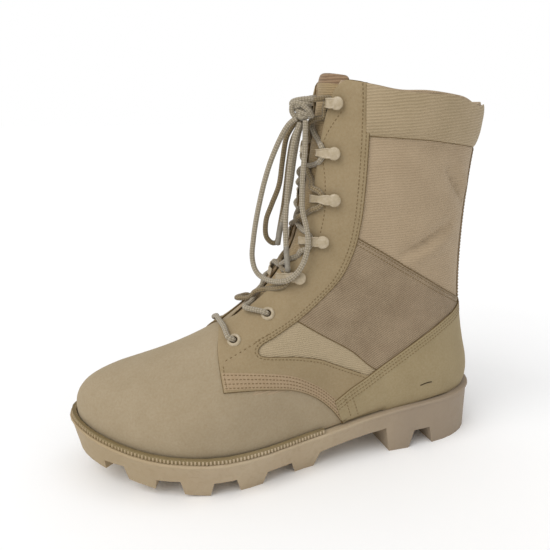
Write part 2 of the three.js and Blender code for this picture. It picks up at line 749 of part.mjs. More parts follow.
function makeHook(hook, side) {
  const { row, half } = rowAndHalf(hook.x, hook.z);
  const stations = HOOK_ROUTE.map(({ walk, height }) => {
    const reached = walkToFront(row, half, walk);
    const place = frontPoint(row, side * reached, height);
    return { point: place.point, normal: place.normal, across: place.up };
  });
  const arm = outward(makeStrip(stations, HOOK_ARM, HOOK_PLATE));
  const disc = new THREE.LatheGeometry(
    [
      [0, 3.9],
      [HOOK_DISC - 0.4, 3.9],
      [HOOK_DISC, 4.5],
      [HOOK_DISC - 0.7, 5.5],
      [0, 6],
    ].map(([radius, height]) => new THREE.Vector2(radius, height)),
    14,
  );
  standOn(disc, frontPoint(row, side * half, 0));
  return toGeometry(toSolid(arm).add(toSolid(outward(disc))));
}

// A lace along a route of points, as one closed tube.
function makeTube(route, diameter, steps) {
  const section = new THREE.Shape();
  for (let i = 0; i < LACE_SIDES; i += 1) {
    const angle = (2 * Math.PI * i) / LACE_SIDES;
    const u = (Math.cos(angle) * diameter) / 2;
    const v = (Math.sin(angle) * diameter) / 2;
    if (i === 0) section.moveTo(u, v);
    else section.lineTo(u, v);
  }
  section.closePath();
  const path = new THREE.CatmullRomCurve3(route, false, 'centripetal');
  return outward(new THREE.ExtrudeGeometry(section, { steps, bevelEnabled: false, extrudePath: path }));
}

// The lace's turn round the neck of a hook, coming from below and leaving upwards.
function hookTurn(hook, side) {
  const { row, half } = rowAndHalf(hook.x, hook.z);
  return [
    { walk: 13.5, up: -7.4 },
    { walk: 8.2, up: -5.4 },
    { walk: 5, up: 0 },
    { walk: 8.2, up: 5.4 },
    { walk: 13.5, up: 7.4 },
  ].map(({ walk, up }) => {
    const reached = walkToFront(row, half, walk);
    const lifted = row + rowStep(row, side * reached, up);
    return { row: lifted, offset: side * reached };
  });
}

// Half of the criss-cross: from an eyelet up over the tongue to alternate hooks.
function strandRoute(firstSide) {
  const start = rowAndHalf(EYELETS[1].x, EYELETS[1].z);
  const places = [{ row: start.row, offset: firstSide * start.half, lift: LACE_LIFT + 2.2 }];
  let side = -firstSide;
  for (const hook of HOOKS) {
    for (const place of hookTurn(hook, side)) places.push({ ...place, lift: LACE_LIFT });
    side = -side;
  }
  // From the top hook the strand leads in to the side of the knot.
  const ending = KNOT_LEADS[-side];
  places[places.length - 1] = ending.leave;
  places.push(ending.arrive);
  return places;
}

// Fills in points between places, so that the strand follows the rounded front.
function overFront(places) {
  const route = [];
  places.forEach((place, index) => {
    route.push(frontPoint(place.row, place.offset, place.lift).point);
    const next = places[index + 1];
    if (next && Math.sign(next.offset) !== Math.sign(place.offset)) {
      for (const share of [0.25, 0.5, 0.75]) {
        const offset = mix(place.offset, next.offset, share);
        const row = mix(place.row, next.row, share);
        route.push(frontPoint(row, offset, mix(place.lift, next.lift, share)).point);
      }
    }
  });
  return route;
}

const CROSSING_STEPS = 56;

function makeCrossings() {
  const strands = [-1, 1].map((side) => toSolid(makeTube(overFront(strandRoute(side)), LACE, CROSSING_STEPS)));
  return toGeometry(strands[0].add(strands[1]));
}

// The lowest bar, straight across from eyelet to eyelet.
function makeLowestBar() {
  const { row, half } = rowAndHalf(EYELETS[0].x, EYELETS[0].z);
  const places = [
    { row, offset: -half, lift: LACE_LIFT + 2.2 },
    { row: row + 0.4, offset: -half * 0.6, lift: LACE_LIFT + 0.4 },
    { row: row + 0.4, offset: half * 0.6, lift: LACE_LIFT + 0.4 },
    { row, offset: half, lift: LACE_LIFT + 2.2 },
  ];
  return makeTube(overFront(places), LACE, 16);
}

function makeKnot() {
  const knot = new THREE.SphereGeometry(1, 14, 10);
  knot.scale(KNOT_SIZE.x, KNOT_SIZE.y, KNOT_SIZE.z);
  knot.translate(KNOT.x, KNOT.y, KNOT.z);
  return knot;
}

// ---------------------------------------------------------------- assembly
const boot = new THREE.Group();
const LEATHER = 0xa3916f;
const METAL = 0xb8a98a;
const CORD = 0x8f8470;

function addPiece(name, geometry, colour, roughness, metalness = 0) {
  const material = new THREE.MeshStandardMaterial({ color: colour, roughness, metalness });
  const mesh = new THREE.Mesh(geometry, material);
  mesh.name = name;
  boot.add(mesh);
}

addPiece('outsole', outward(makeOutsole()), 0x9a8a70, 0.75);
addPiece('welt', outward(makeWelt()), 0x8d7d60, 0.75);
addPiece('insole', outward(makeInsole()), 0x4a443c, 0.9);
addPiece('upper', makeUpper(), LEATHER, 0.85);
addPiece('tongue', outward(makeTongue()), LEATHER, 0.85);
for (const [side, sideName] of [[-1, 'outer'], [1, 'inner']]) {
  EYELETS.forEach((eyelet, index) => {
    const { row, half } = rowAndHalf(eyelet.x, eyelet.z);
    const place = frontPoint(row, side * half, 0);
    addPiece(`eyelet_${sideName}_${index + 1}`, outward(makeEyelet(place)), METAL, 0.45, 0.3);
  });
  HOOKS.forEach((hook, index) => {
    addPiece(`hook_${sideName}_${index + 1}`, makeHook(hook, side), METAL, 0.45, 0.3);
  });
}
addPiece('lace_crossings', outward(makeCrossings()), CORD, 0.8);
addPiece('lace_lowest_bar', makeLowestBar(), CORD, 0.8);
addPiece('lace_knot', makeKnot(), CORD, 0.8);
for (const [name, route] of Object.entries(CORD_ROUTES)) {
  const points = route.map(([x, y, z]) => new THREE.Vector3(x, y, z));
  addPiece(name, makeTube(points, LACE, CORD_STEPS[name]), CORD, 0.8);
}

export default boot;
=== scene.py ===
"""Left combat boot in sand nubuck leather and ribbed nylon, standing empty on its cleated sole.

Lengths are written in millimetres in the boot's frame: -X toe, +X heel, -Y outer side, +Z up.
"""

import math

import bpy
from mathutils import Matrix, Vector
from mathutils.bvhtree import BVHTree


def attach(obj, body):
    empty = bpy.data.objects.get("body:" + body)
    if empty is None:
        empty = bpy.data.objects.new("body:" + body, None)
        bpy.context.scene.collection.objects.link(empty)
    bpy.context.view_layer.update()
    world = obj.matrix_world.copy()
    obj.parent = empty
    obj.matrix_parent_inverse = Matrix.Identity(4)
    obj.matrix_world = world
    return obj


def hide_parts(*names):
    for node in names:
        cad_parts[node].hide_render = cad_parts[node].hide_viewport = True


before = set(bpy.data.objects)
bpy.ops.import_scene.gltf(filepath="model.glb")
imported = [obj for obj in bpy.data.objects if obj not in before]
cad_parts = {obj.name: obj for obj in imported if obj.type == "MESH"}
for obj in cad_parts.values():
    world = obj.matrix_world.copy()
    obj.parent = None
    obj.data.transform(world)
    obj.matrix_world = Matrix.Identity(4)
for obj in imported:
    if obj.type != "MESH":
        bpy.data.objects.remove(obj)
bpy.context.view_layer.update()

MM = 0.001
BOOT = "root"
OUTER, INNER = -1, 1  # which side of the boot, as the sign of Y
SIDES = {OUTER: "outer", INNER: "inner"}
MIDLINE = 2  # Y of the leg's middle plane
LEG_X = 88  # X of the leg's middle


# ---------------------------------------------------------------- helpers for places
def mm(x, y, z):
    return Vector((x, y, z)) * MM


SAME_PLACE = 1e-9


def smooth_line(points, spacing):
    """A smooth curve through the points. A point given twice in a row makes a sharp corner."""
    runs = [[Vector(points[0])]]
    for point in points[1:]:
        point = Vector(point)
        if (point - runs[-1][-1]).length < SAME_PLACE:
            runs.append([point])
        else:
            runs[-1].append(point)
    line = []
    for run in runs:
        for index in range(len(run) - 1):
            before = run[max(index - 1, 0)]
            start, end = run[index], run[index + 1]
            after = run[min(index + 2, len(run) - 1)]
            steps = max(1, round((end - start).length / spacing))
            for step in range(steps):
                line.append(curve_point(before, start, end, after, step / steps))
    line.append(runs[-1][-1].copy())
    return line


def curve_point(before, start, end, after, share):
    """A place on the Catmull-Rom curve between start and end."""
    a = 2 * start
    b = end - before
    c = 2 * before - 5 * start + 4 * end - after
    d = 3 * start - before - 3 * end + after
    return (a + b * share + c * share**2 + d * share**3) / 2


def paired_lines(first, second, spacing, corners=()):
    """Two smooth curves with the same number of points, so that they can be the two edges of a strip."""
    lines = ([], [])
    for index in range(len(first) - 1):
        longest = max((b[index + 1] - b[index]).length for b in (first, second))
        steps = max(1, round(longest / spacing))
        for line, points in zip(lines, (first, second)):
            before = points[index] if index == 0 or index in corners else points[index - 1]
            last = index + 1 == len(points) - 1 or index + 1 in corners
            after = points[index + 1] if last else points[index + 2]
            for step in range(steps):
                line.append(curve_point(before, points[index], points[index + 1], after, step / steps))
    for line, points in zip(lines, (first, second)):
        line.append(points[-1].copy())
    return lines


# ---------------------------------------------------------------- helpers for making pieces
MERGE_WITHIN = 0.01 * MM
SEAM_WITHIN = 0.001 * MM  # for a tube's own seam
TUBE_TIP = 0.45  # how far a tube's end stands out, in radii


def deselect():
    if bpy.context.object and bpy.context.object.mode != "OBJECT":
        bpy.ops.object.mode_set(mode="OBJECT")
    bpy.ops.object.select_all(action="DESELECT")


def pick(piece):
    deselect()
    piece.select_set(True)
    bpy.context.view_layer.objects.active = piece
    return piece


def add_piece(name, points, faces, around=None):
    mesh = bpy.data.meshes.new(name)
    mesh.from_pydata([tuple(p) for p in points], [], faces)
    mesh.update()
    piece = bpy.data.objects.new(name, mesh)
    bpy.context.scene.collection.objects.link(piece)
    if around is not None:
        layer = mesh.uv_layers.new(name="UVMap")
        for loop in mesh.loops:
            layer.data[loop.index].uv = around[loop.vertex_index]
    return piece


def edit_all(piece, operator, **settings):
    """Runs a mesh operator on the whole of a piece, in edit mode."""
    pick(piece)
    bpy.ops.object.mode_set(mode="EDIT")
    bpy.ops.mesh.select_all(action="SELECT")
    operator(**settings)
    bpy.ops.object.mode_set(mode="OBJECT")
    return piece


def copy_node(node, name):
    """A merged copy of a CAD node's mesh."""
    piece = bpy.data.objects.new(name, bpy.data.objects[node].data.copy())
    bpy.context.scene.collection.objects.link(piece)
    return edit_all(piece, bpy.ops.mesh.remove_doubles, threshold=MERGE_WITHIN)


def modify(piece, kind, **settings):
    modifier = piece.modifiers.new(kind.title(), kind)
    for key, value in settings.items():
        setattr(modifier, key, value)
    pick(piece)
    bpy.ops.object.modifier_apply(modifier=modifier.name)
    return piece


def soften(piece):
    """Rounds a faceted copy of a CAD node: its triangles are paired into quads and then subdivided."""
    edit_all(piece, bpy.ops.mesh.tris_convert_to_quads, face_threshold=math.radians(40),
             shape_threshold=math.radians(70))
    return modify(piece, "SUBSURF", levels=2, render_levels=2)


def smooth(piece, angle=None):
    pick(piece)
    if angle is None:
        bpy.ops.object.shade_smooth()
    else:
        bpy.ops.object.shade_smooth_by_angle(angle=math.radians(angle))
    return piece


def point_outwards(piece):
    return edit_all(piece, bpy.ops.mesh.normals_make_consistent, inside=False)


def dress(piece, *materials):
    piece.data.materials.clear()
    for material in materials:
        piece.data.materials.append(material)
    return piece


def finish(piece, slot, *materials, stands_for=()):
    if materials:
        dress(piece, *materials)
    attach(piece, BOOT)
    if stands_for:
        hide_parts(*stands_for)
    return piece


def join(name, pieces):
    deselect()
    for piece in pieces:
        piece.select_set(True)
    bpy.context.view_layer.objects.active = pieces[0]
    bpy.ops.object.join()
    whole = bpy.context.object
    whole.name = whole.data.name = name
    return whole


def turned(name, profile, steps=24):
    """A solid of revolution about Z from (radius, height) places in millimetres."""
    edges = [(i, i + 1) for i in range(len(profile) - 1)]
    mesh = bpy.data.meshes.new(name)
    mesh.from_pydata([(radius * MM, 0, height * MM) for radius, height in profile], edges, [])
    piece = bpy.data.objects.new(name, mesh)
    bpy.context.scene.collection.objects.link(piece)
    modify(piece, "SCREW", angle=2 * math.pi, steps=steps, render_steps=steps, use_merge_vertices=True,
           merge_threshold=MERGE_WITHIN)
    edit_all(piece, bpy.ops.mesh.remove_doubles, threshold=MERGE_WITHIN)
    return point_outwards(piece)


def stand(piece, place, normal, ahead):
    """Moves a piece made at the origin to a place, with its Z along the normal and its X pointing ahead."""
    side = normal.cross(ahead).normalized()
    turn = Matrix((side.cross(normal).normalized(), side, normal)).transposed().to_4x4()
    piece.data.transform(Matrix.Translation(place) @ turn)
    return piece


def tube(name, line, radius, sides=12):
    """A closed round cord along a line, with its length in metres along V and once round along U."""
    points, faces, around = [], [], []
    side = None
    walked = 0.0
    last = len(line) - 1
    for index, place in enumerate(line):
        ahead = (line[min(index + 1, last)] - line[max(index - 1, 0)]).normalized()
        if side is None:
            side = ahead.orthogonal().normalized()
        side = (side - ahead * side.dot(ahead)).normalized()
        up = ahead.cross(side)
        if index:
            walked += (place - line[index - 1]).length
        for turn in range(sides + 1):
            angle = 2 * math.pi * turn / sides
            offset = side * math.cos(angle) + up * math.sin(angle)
            points.append(place + offset * radius)
            around.append((turn / sides, walked))
    ring = sides + 1
    for index in range(last):
        for turn in range(sides):
            a = index * ring + turn
            faces.append((a, a + 1, a + ring + 1, a + ring))
    for end, index in ((-1, 0), (1, last)):
        first = index * ring
        tip = len(points)
        ahead = (line[1] - line[0]) if index == 0 else (line[-1] - line[-2])
        points.append(line[index] + ahead.normalized() * end * radius * TUBE_TIP)
        around.append((0.5, walked if index else 0.0))
        for turn in range(sides):
            pair = (first + turn, first + turn + 1)
            faces.append((*(pair if end > 0 else pair[::-1]), tip))
    piece = add_piece(name, points, faces, around)
    edit_all(piece, bpy.ops.mesh.remove_doubles, threshold=SEAM_WITHIN)
    return smooth(piece)


# ---------------------------------------------------------------- materials
def linear(code):
    """sRGB hex to a linear colour with full alpha."""
    parts = [int(code[i : i + 2], 16) / 255 for i in (0, 2, 4)]
    return (*[p / 12.92 if p <= 0.04045 else ((p + 0.055) / 1.055) ** 2.4 for p in parts], 1.0)


def add_node(tree, kind, settings=None, inputs=None):
    node = tree.nodes.new(kind)
    for key, value in (settings or {}).items():
        setattr(node, key, value)
    for key, value in (inputs or {}).items():
        if isinstance(value, bpy.types.NodeSocket):
            tree.links.new(value, node.inputs[key])
        else:
            node.inputs[key].default_value = value
    return node


def start_material(name):
    material = bpy.data.materials.new(name)
    material.use_nodes = True
    tree = material.node_tree
    tree.nodes.clear()
    place = add_node(tree, "ShaderNodeTexCoord")
    return material, tree, place


def close_material(tree, settings):
    shader = add_node(tree, "ShaderNodeBsdfPrincipled", None, settings)
    add_node(tree, "ShaderNodeOutputMaterial", None, {"Surface": shader.outputs[0]})


def noise(tree, place, grain, detail=3.0, rough=0.55, distort=0.0):
    """Cloudy pattern whose blotches are about this many millimetres wide."""
    settings = {"Vector": place, "Scale": 1 / (grain * MM), "Detail": detail, "Roughness": rough,
                "Distortion": distort}
    return add_node(tree, "ShaderNodeTexNoise", None, settings).outputs["Fac"]


def spread(tree, value, low, high, start=0.3, end=0.7):
    """Stretches a pattern's middle range to run from low to high."""
    inputs = {"Value": value, "From Min": start, "From Max": end, "To Min": low, "To Max": high}
    return add_node(tree, "ShaderNodeMapRange", None, inputs).outputs[0]


def blend(tree, share, first, second, how="MIX"):
    node = add_node(tree, "ShaderNodeMix", {"data_type": "RGBA", "blend_type": how}, {"Factor": share})
    for key, value in ((6, first), (7, second)):
        if isinstance(value, bpy.types.NodeSocket):
            tree.links.new(value, node.inputs[key])
        else:
            node.inputs[key].default_value = value
    return node.outputs[2]


def maths(tree, how, first, second=0.5):
    return add_node(tree, "ShaderNodeMath", {"operation": how}, {0: first, 1: second}).outputs[0]


def bump(tree, height, depth, normal=None):
    inputs = {"Height": height, "Distance": depth * MM, "Strength": 1.0}
    if normal is not None:
        inputs["Normal"] = normal
    return add_node(tree, "ShaderNodeBump", None, inputs).outputs[0]


def nubuck(name, tone, dark, light):
    """Buffed grain leather: a dry suede-like nap, so no gloss, with blotches where the nap lies over."""
    material, tree, place = start_material(name)
    spot = place.outputs["Object"]
    cloud = noise(tree, spot, 34, 2, 0.4, 0.2)
    nap = noise(tree, spot, 1.5, 4, 0.65)  # real nap is finer; this is as coarse as shows
    pore = noise(tree, spot, 0.55, 2, 0.6)
    colour = blend(tree, spread(tree, cloud, 0, 0.3), linear(tone), linear(light))
    shade = spread(tree, noise(tree, spot, 14, 3, 0.5, 0.2), 0.16, 0, 0.36, 0.6)
    colour = blend(tree, shade, colour, linear(dark))
    colour = blend(tree, spread(tree, nap, 0.0, 0.5, 0.35, 0.7), colour,
                   blend(tree, 1.0, colour, linear("e9dfcf"), "MULTIPLY"))
    relief = bump(tree, nap, 0.14)
    relief = bump(tree, pore, 0.07, relief)
    close_material(tree, {"Base Color": colour, "Roughness": 0.93, "Normal": relief, "IOR": 1.45,
                          "Specular IOR Level": 0.25, "Sheen Weight": 0.18, "Sheen Roughness": 0.5,
                          "Sheen Tint": linear("efe2c8")})
    return material


THREAD_PITCH = 1.1  # spacing of the fine threads across the ribs
RIB_WANDER = 2.2  # how far a rib strays from its level


def ribbed_cloth(name, tone, dark, tilt, pitch, relief_depth, trough_shade):
    """Woven nylon with raised ribs, pitch apart. They run level, turned about Y by tilt degrees, and the
    troughs between them are painted darker as shade.
    """
    material, tree, place = start_material(name)
    spot = place.outputs["Object"]
    tilted = add_node(tree, "ShaderNodeMapping", {"vector_type": "POINT"},
                      {"Vector": spot, "Rotation": (0, math.radians(tilt), 0)}).outputs[0]
    parts = add_node(tree, "ShaderNodeSeparateXYZ", None, {"Vector": tilted})
    wander = maths(tree, "MULTIPLY", noise(tree, spot, 22, 2), RIB_WANDER * MM)
    height = maths(tree, "ADD", parts.outputs["Z"], wander)
    wave = maths(tree, "SINE", maths(tree, "MULTIPLY", height, 2 * math.pi / (pitch * MM)))
    ribs = maths(tree, "MULTIPLY_ADD", wave, 0.5)
    ribs.node.inputs[2].default_value = 0.5
    along = maths(tree, "MULTIPLY", parts.outputs["X"], 2 * math.pi / (THREAD_PITCH * MM))
    across = maths(tree, "SINE", along)
    threads = maths(tree, "MULTIPLY_ADD", across, 0.5)
    threads.node.inputs[2].default_value = 0.5
    fuzz = noise(tree, spot, 1.2, 3, 0.7)
    cloud = noise(tree, spot, 18, 3)
    # Painted shade: the troughs between the ribs are darkened towards the dark colour.
    shade = maths(tree, "MULTIPLY", spread(tree, ribs, 1, 0, 0, 0.75), trough_shade)
    colour = blend(tree, shade, linear(tone), linear(dark))
    colour = blend(tree, spread(tree, fuzz, 0.0, 0.4), colour, linear(dark))
    colour = blend(tree, spread(tree, cloud, 0.0, 0.3), colour, linear("b7a387"))
    normal = bump(tree, ribs, relief_depth)
    normal = bump(tree, threads, relief_depth * 0.12, normal)
    normal = bump(tree, fuzz, 0.12, normal)
    close_material(tree, {"Base Color": colour, "Roughness": 0.82, "Normal": normal, "IOR": 1.5,
                          "Specular IOR Level": 0.3, "Sheen Weight": 0.25, "Sheen Roughness": 0.4,
                          "Sheen Tint": linear("f0e6d6")})
    return material


# Painted shade: towards the heel, which is turned from the light, the sole is darker and greyer.
HEEL_SHADE_GREY = (15 * MM, 85 * MM)  # where along the sole the heel's grey begins and is full
TOE_CLAY = (-130 * MM, -70 * MM)  # where the toe's brown is full and ends


def sole_rubber(name, tone, dark, light, heel_shade_grey="948471", clay="9f8b6a"):
    """Moulded nitrile rubber: satin, dusty and scuffed, browner at the toe, and darker and greyer towards
    the heel as painted shade.
    """
    material, tree, place = start_material(name)
    spot = place.outputs["Object"]
    cloud = noise(tree, spot, 30, 4, 0.55)
    grain = noise(tree, spot, 0.9, 3, 0.6)
    scuff = noise(tree, spot, 7, 6, 0.7, 1.2)
    colour = blend(tree, spread(tree, cloud, 0.0, 0.7), linear(tone), linear(light))
    colour = blend(tree, spread(tree, scuff, 0.0, 0.35, 0.5, 0.72), colour, linear(dark))
    length = add_node(tree, "ShaderNodeSeparateXYZ", None, {"Vector": spot}).outputs[0]
    # Painted shade, darker and greyer, grows towards the heel.
    colour = blend(tree, spread(tree, length, 0.0, 0.92, *HEEL_SHADE_GREY), colour, linear(heel_shade_grey))
    colour = blend(tree, spread(tree, length, 0.85, 0.0, *TOE_CLAY), colour, linear(clay))
    rough = spread(tree, scuff, 0.55, 0.75)
    normal = bump(tree, grain, 0.06)
    normal = bump(tree, scuff, 0.12, normal)
    close_material(tree, {"Base Color": colour, "Roughness": rough, "Normal": normal, "IOR": 1.52,
                          "Specular IOR Level": 0.35})
    return material


def satin_coat(name, tone, dark):
    """Thick paint on brass, or a lace tip's plastic: a hard satin skin, with soft darker patches."""
    material, tree, place = start_material(name)
    spot = place.outputs["Object"]
    flow = noise(tree, spot, 2.4, 3, 0.6)
    speck = noise(tree, spot, 0.8, 2, 0.5)
    colour = blend(tree, spread(tree, flow, 0.0, 0.75), linear(tone), linear(dark))
    normal = bump(tree, speck, 0.03)
    rough = spread(tree, flow, 0.34, 0.5)
    close_material(tree, {"Base Color": colour, "Roughness": rough, "Normal": normal, "IOR": 1.5,
                          "Coat Weight": 0.2, "Coat Roughness": 0.25})
    return material


BRAID_CARRIERS = 4  # strands each way round
BRAID_PITCH = 3.4


def braid(name, tone, dark, fleck):
    """Round braided polyester lace. Real carriers are finer than these, which are as coarse as shows."""
    material, tree, place = start_material(name)
    parts = add_node(tree, "ShaderNodeSeparateXYZ", None, {"Vector": place.outputs["UV"]})
    round_lace = maths(tree, "MULTIPLY", parts.outputs["X"], 2 * math.pi * BRAID_CARRIERS)
    down_lace = maths(tree, "MULTIPLY", parts.outputs["Y"], 2 * math.pi / (BRAID_PITCH * MM))
    left = maths(tree, "SINE", maths(tree, "ADD", round_lace, down_lace))
    right = maths(tree, "SINE", maths(tree, "SUBTRACT", round_lace, down_lace))
    weave = maths(tree, "MULTIPLY", left, right)
    height = maths(tree, "ABSOLUTE", weave)
    spot = place.outputs["Object"]
    fuzz = noise(tree, spot, 0.9, 3, 0.7)
    colour = blend(tree, spread(tree, weave, 0.0, 1.0, -0.5, 0.5), linear(tone), linear(dark))
    # Painted shade: the gaps between the strands, where the braid is low, are darkened.
    colour = blend(tree, spread(tree, height, 0.35, 0.0, 0.0, 0.35), colour, linear("655a47"))
    colour = blend(tree, spread(tree, fuzz, 0.0, 0.45, 0.5, 0.7), colour, linear(fleck))
    normal = bump(tree, height, 0.35)
    normal = bump(tree, fuzz, 0.1, normal)
    close_material(tree, {"Base Color": colour, "Roughness": 0.75, "Normal": normal, "IOR": 1.5,
                          "Specular IOR Level": 0.3, "Sheen Weight": 0.3, "Sheen Roughness": 0.4})
    return material


def thread(name, tone, dark):
    """Bonded polyester sewing thread, twisted, a little darker than the leather."""
    material, tree, place = start_material(name)
    spot = place.outputs["Object"]
    twist = noise(tree, spot, 0.5, 2)
    colour = blend(tree, spread(tree, twist, 0, 1), linear(tone), linear(dark))
    close_material(tree, {"Base Color": colour, "Roughness": 0.6, "Normal": bump(tree, twist, 0.05),
                          "IOR": 1.5, "Specular IOR Level": 0.3})
    return material


def studio_floor():
    """Seamless white paper sweep."""
    material, tree, place = start_material("paper_floor")
    tint = blend(tree, spread(tree, noise(tree, place.outputs["Object"], 300), 0, 1),
                 linear("ffffff"), linear("fdfdfd"))
    close_material(tree, {"Base Color": tint, "Roughness": 0.9, "Specular IOR Level": 0.1})
    return material


VAMP_LEATHER = nubuck("nubuck_vamp", "9e8f76", "89795d", "a89a82")
FACING_LEATHER = nubuck("nubuck_facing", "978668", "827153", "a39175")
COUNTER_LEATHER = nubuck("nubuck_counter", "98896a", "847556", "a39476")
BAND_LEATHER = nubuck("nubuck_band", "a48f74", "90795c", "af9a81")
# Darker leather for the panels' cut rims: partly the real darker cut edge, partly painted shade in the
# seams. It also colours the beads of painted seam shade.
CUT_EDGE_AND_SEAM_SHADE = nubuck("leather_cut_edge_and_seam_shade", "6b5839", "51422a", "786444")
SHAFT_CLOTH = ribbed_cloth("ribbed_nylon_shaft", "aa957a", "927f64", 3, 1.75, 0.2, 0.5)
COLLAR_CLOTH = ribbed_cloth("ribbed_nylon_collar", "a89678", "8f7d5f", 5, 1.95, 0.28, 0.7)
INSERT_CLOTH = ribbed_cloth("ribbed_nylon_insert", "b09f81", "99886a", 1, 1.4, 0.25, 0.6)
WEBBING = ribbed_cloth("nylon_webbing", "97836a", "78664f", 28, 1.45, 0.34, 0.95)
TONGUE_CLOTH = ribbed_cloth("tongue_nylon", "a38c66", "86714e", 0, 1.5, 0.2, 0.5)
LINING = ribbed_cloth("tricot_lining", "96835f", "7b6a4b", 0, 1.8, 0.12, 0.5)
BINDING = ribbed_cloth("ribbed_binding", "94775b", "6d543c", 0, 2.2, 0.4, 0.9)
RUBBER = sole_rubber("nitrile_rubber_sole", "ac997d", "958164", "b6a58a")
# The welt is painted darker than the sole and its ribs, partly as the shade in the slots between the ribs,
# where it shows.
WELT_RUBBER = sole_rubber("rubber_welt", "857452", "6a5a3e", "948362", "7b6b50", "7f6e4b")
PAINTED_BRASS = satin_coat("painted_brass", "b4a58c", "9a8969")
LACE_GREY = braid("braided_lace", "b6aa93", "887c67", "c6bcab")
# The same lace painted darker and browner, as shade, for the inner strand and the bow's loop behind the
# knot.
LACE_SHADED = braid("braided_lace_shaded", "9c8a68", "736145", "ad9d82")
AGLET = satin_coat("lace_tip", "8c8577", "6f675a")
THREAD = thread("sewing_thread", "85714f", "6b583a")
# The footbed's flock, the painted shade inside an eyelet's hole and the dark of a scrape are as dry as
# nubuck, and take its nap.
FOOTBED = nubuck("footbed_cloth", "8d7b5c", "746345", "99886a")
HOLE_SHADE_AND_SCRAPE = nubuck("hole_shade_and_scrape", "3a2f22", "2a2118", "45392a")

# ---------------------------------------------------------------- camera and light
CAMERA_PLACE = (-141.42, -421.25, 253.69)
CAMERA_UP, CAMERA_TURN = 74.82, -17.47  # degrees from straight down, and about Z
CAMERA_LENS, CAMERA_SENSOR = 42.91, 36
ROOM_LIGHT = 0.64
FLOOR_WIDTH = 12  # metres

deselect()
bpy.ops.object.camera_add(location=[value * MM for value in CAMERA_PLACE])
camera = bpy.context.object
camera.name = "boot_camera"
camera.rotation_euler = (math.radians(CAMERA_UP), 0, math.radians(CAMERA_TURN))
camera.data.lens = CAMERA_LENS
camera.data.sensor_width = CAMERA_SENSOR
bpy.context.scene.camera = camera
bpy.context.scene.view_settings.view_transform = "Standard"

# White studio: an even white room, seen as pure white, a broad soft light high on the toe side, and a
# weaker and softer one from above.
world = bpy.data.worlds.new("studio")
world.use_nodes = True
bpy.context.scene.world = world
room = world.node_tree
background = room.nodes["Background"]
seen = add_node(room, "ShaderNodeLightPath").outputs["Is Camera Ray"]
strengths = {"Value": seen, "To Min": ROOM_LIGHT, "To Max": 1.0}
brightness = add_node(room, "ShaderNodeMapRange", None, strengths)
background.inputs["Color"].default_value = (1, 1, 1, 1)
room.links.new(brightness.outputs[0], background.inputs["Strength"])


def add_soft_sun(name, place, strength, width):
    deselect()
    bpy.ops.object.light_add(type="SUN", location=place)
    light = bpy.context.object
    light.name = name
    light.data.energy = strength
    light.data.angle = math.radians(width)
    light.rotation_euler = (-Vector(place)).to_track_quat("-Z", "Y").to_euler()


add_soft_sun("toe_side_softbox", (-1.5, -0.75, 1.6), 1.45, 45)
add_soft_sun("top_softbox", (0.1, -0.3, 1.0), 0.3, 70)

bpy.ops.mesh.primitive_plane_add(size=FLOOR_WIDTH, location=(0, 0, 0))
floor = bpy.context.object
floor.name = "floor"
floor.data.materials.append(studio_floor())

# ---------------------------------------------------------------- free laces
LACE_WIDTH = 3.6
LACE_RADIUS = LACE_WIDTH / 2 * MM
CORD_GRID = 1.6
AGLET_LENGTH = 14
AGLET_OVERHANG = 1.2
AGLET_SWELL = 1.06
CORD_ROUTES = {
    "lace_loop_outer": [
        (4, -6, 240.5), (-1, -4, 236), (-6, -2, 227), (-12, -1, 213), (-16, 0, 200), (-19, 1, 187),
        (-22, 1, 173), (-24, 1, 160), (-25, 1, 149), (-24, -1, 140.5), (-21, -5, 135.5),
        (-16, -14.5, 134), (-8.5, -22.5, 135.5), (-1.5, -25, 141), (4, -24, 149), (7, -23, 160.5),
        (6.5, -20, 171), (5, -16.5, 181.5), (5.5, -14, 192), (6.5, -12.5, 206), (8, -11.5, 219),
        (8.5, -10.5, 231), (9, -9.5, 239),
    ],
    "lace_loop_inner": [
        (8, 0.5, 240.5), (3, 3, 233), (0, 4, 226), (-2, 5, 212), (-4, 6, 196), (-9, 7, 182.5),
        (-13, 7, 172), (-13, 8, 161), (-9, 8, 155.5), (-5, 7.5, 156), (-3, 9, 163), (-1, 10, 172),
        (1, 10, 184), (2.5, 9.5, 198), (4, 9, 212), (6, 7, 226), (10.5, 4, 237),
    ],
    "lace_end_outer": [
        (6, -7, 237.5), (2.5, -8, 229), (0, -8, 217), (-2, -8, 200), (-3.5, -8, 181),
        (-4.5, -9.5, 169), (-5, -13, 155), (-5.5, -18, 142),
    ],
    "lace_end_inner": [
        (9.5, -3.5, 239.5), (6.5, -3, 230), (4, -1.5, 214), (2, -1, 198), (-0.5, -0.5, 184),
        (-3, -0.5, 174), (-5.5, -0.5, 165), (-7, -1, 157),
    ],
}


def add_aglet(name, line):
    """The plastic tip on a free end, a little thicker than the lace."""
    back, walked = [line[-1]], 0.0
    for place in reversed(line[:-1]):
        walked += (place - back[-1]).length
        back.append(place)
        if walked > AGLET_LENGTH * MM:
            break
    back[0] = back[0] + (back[0] - back[1]).normalized() * AGLET_OVERHANG * MM
    return finish(tube(name, back, LACE_RADIUS * AGLET_SWELL, 14), "lace", AGLET)


for name, route in CORD_ROUTES.items():
    line = smooth_line([mm(*place) for place in route], CORD_GRID * MM)
    lace = tube(name + "_braided", line, LACE_RADIUS)
    # The bow's inner loop, lying behind, takes the lace painted as shade.
    finish(lace, "lace", LACE_SHADED if name.endswith("loop_inner") else LACE_GREY, stands_for=[name])
    free = "_end_" in name
    tips = [add_aglet(name.replace("lace", "aglet"), line)] if free else []

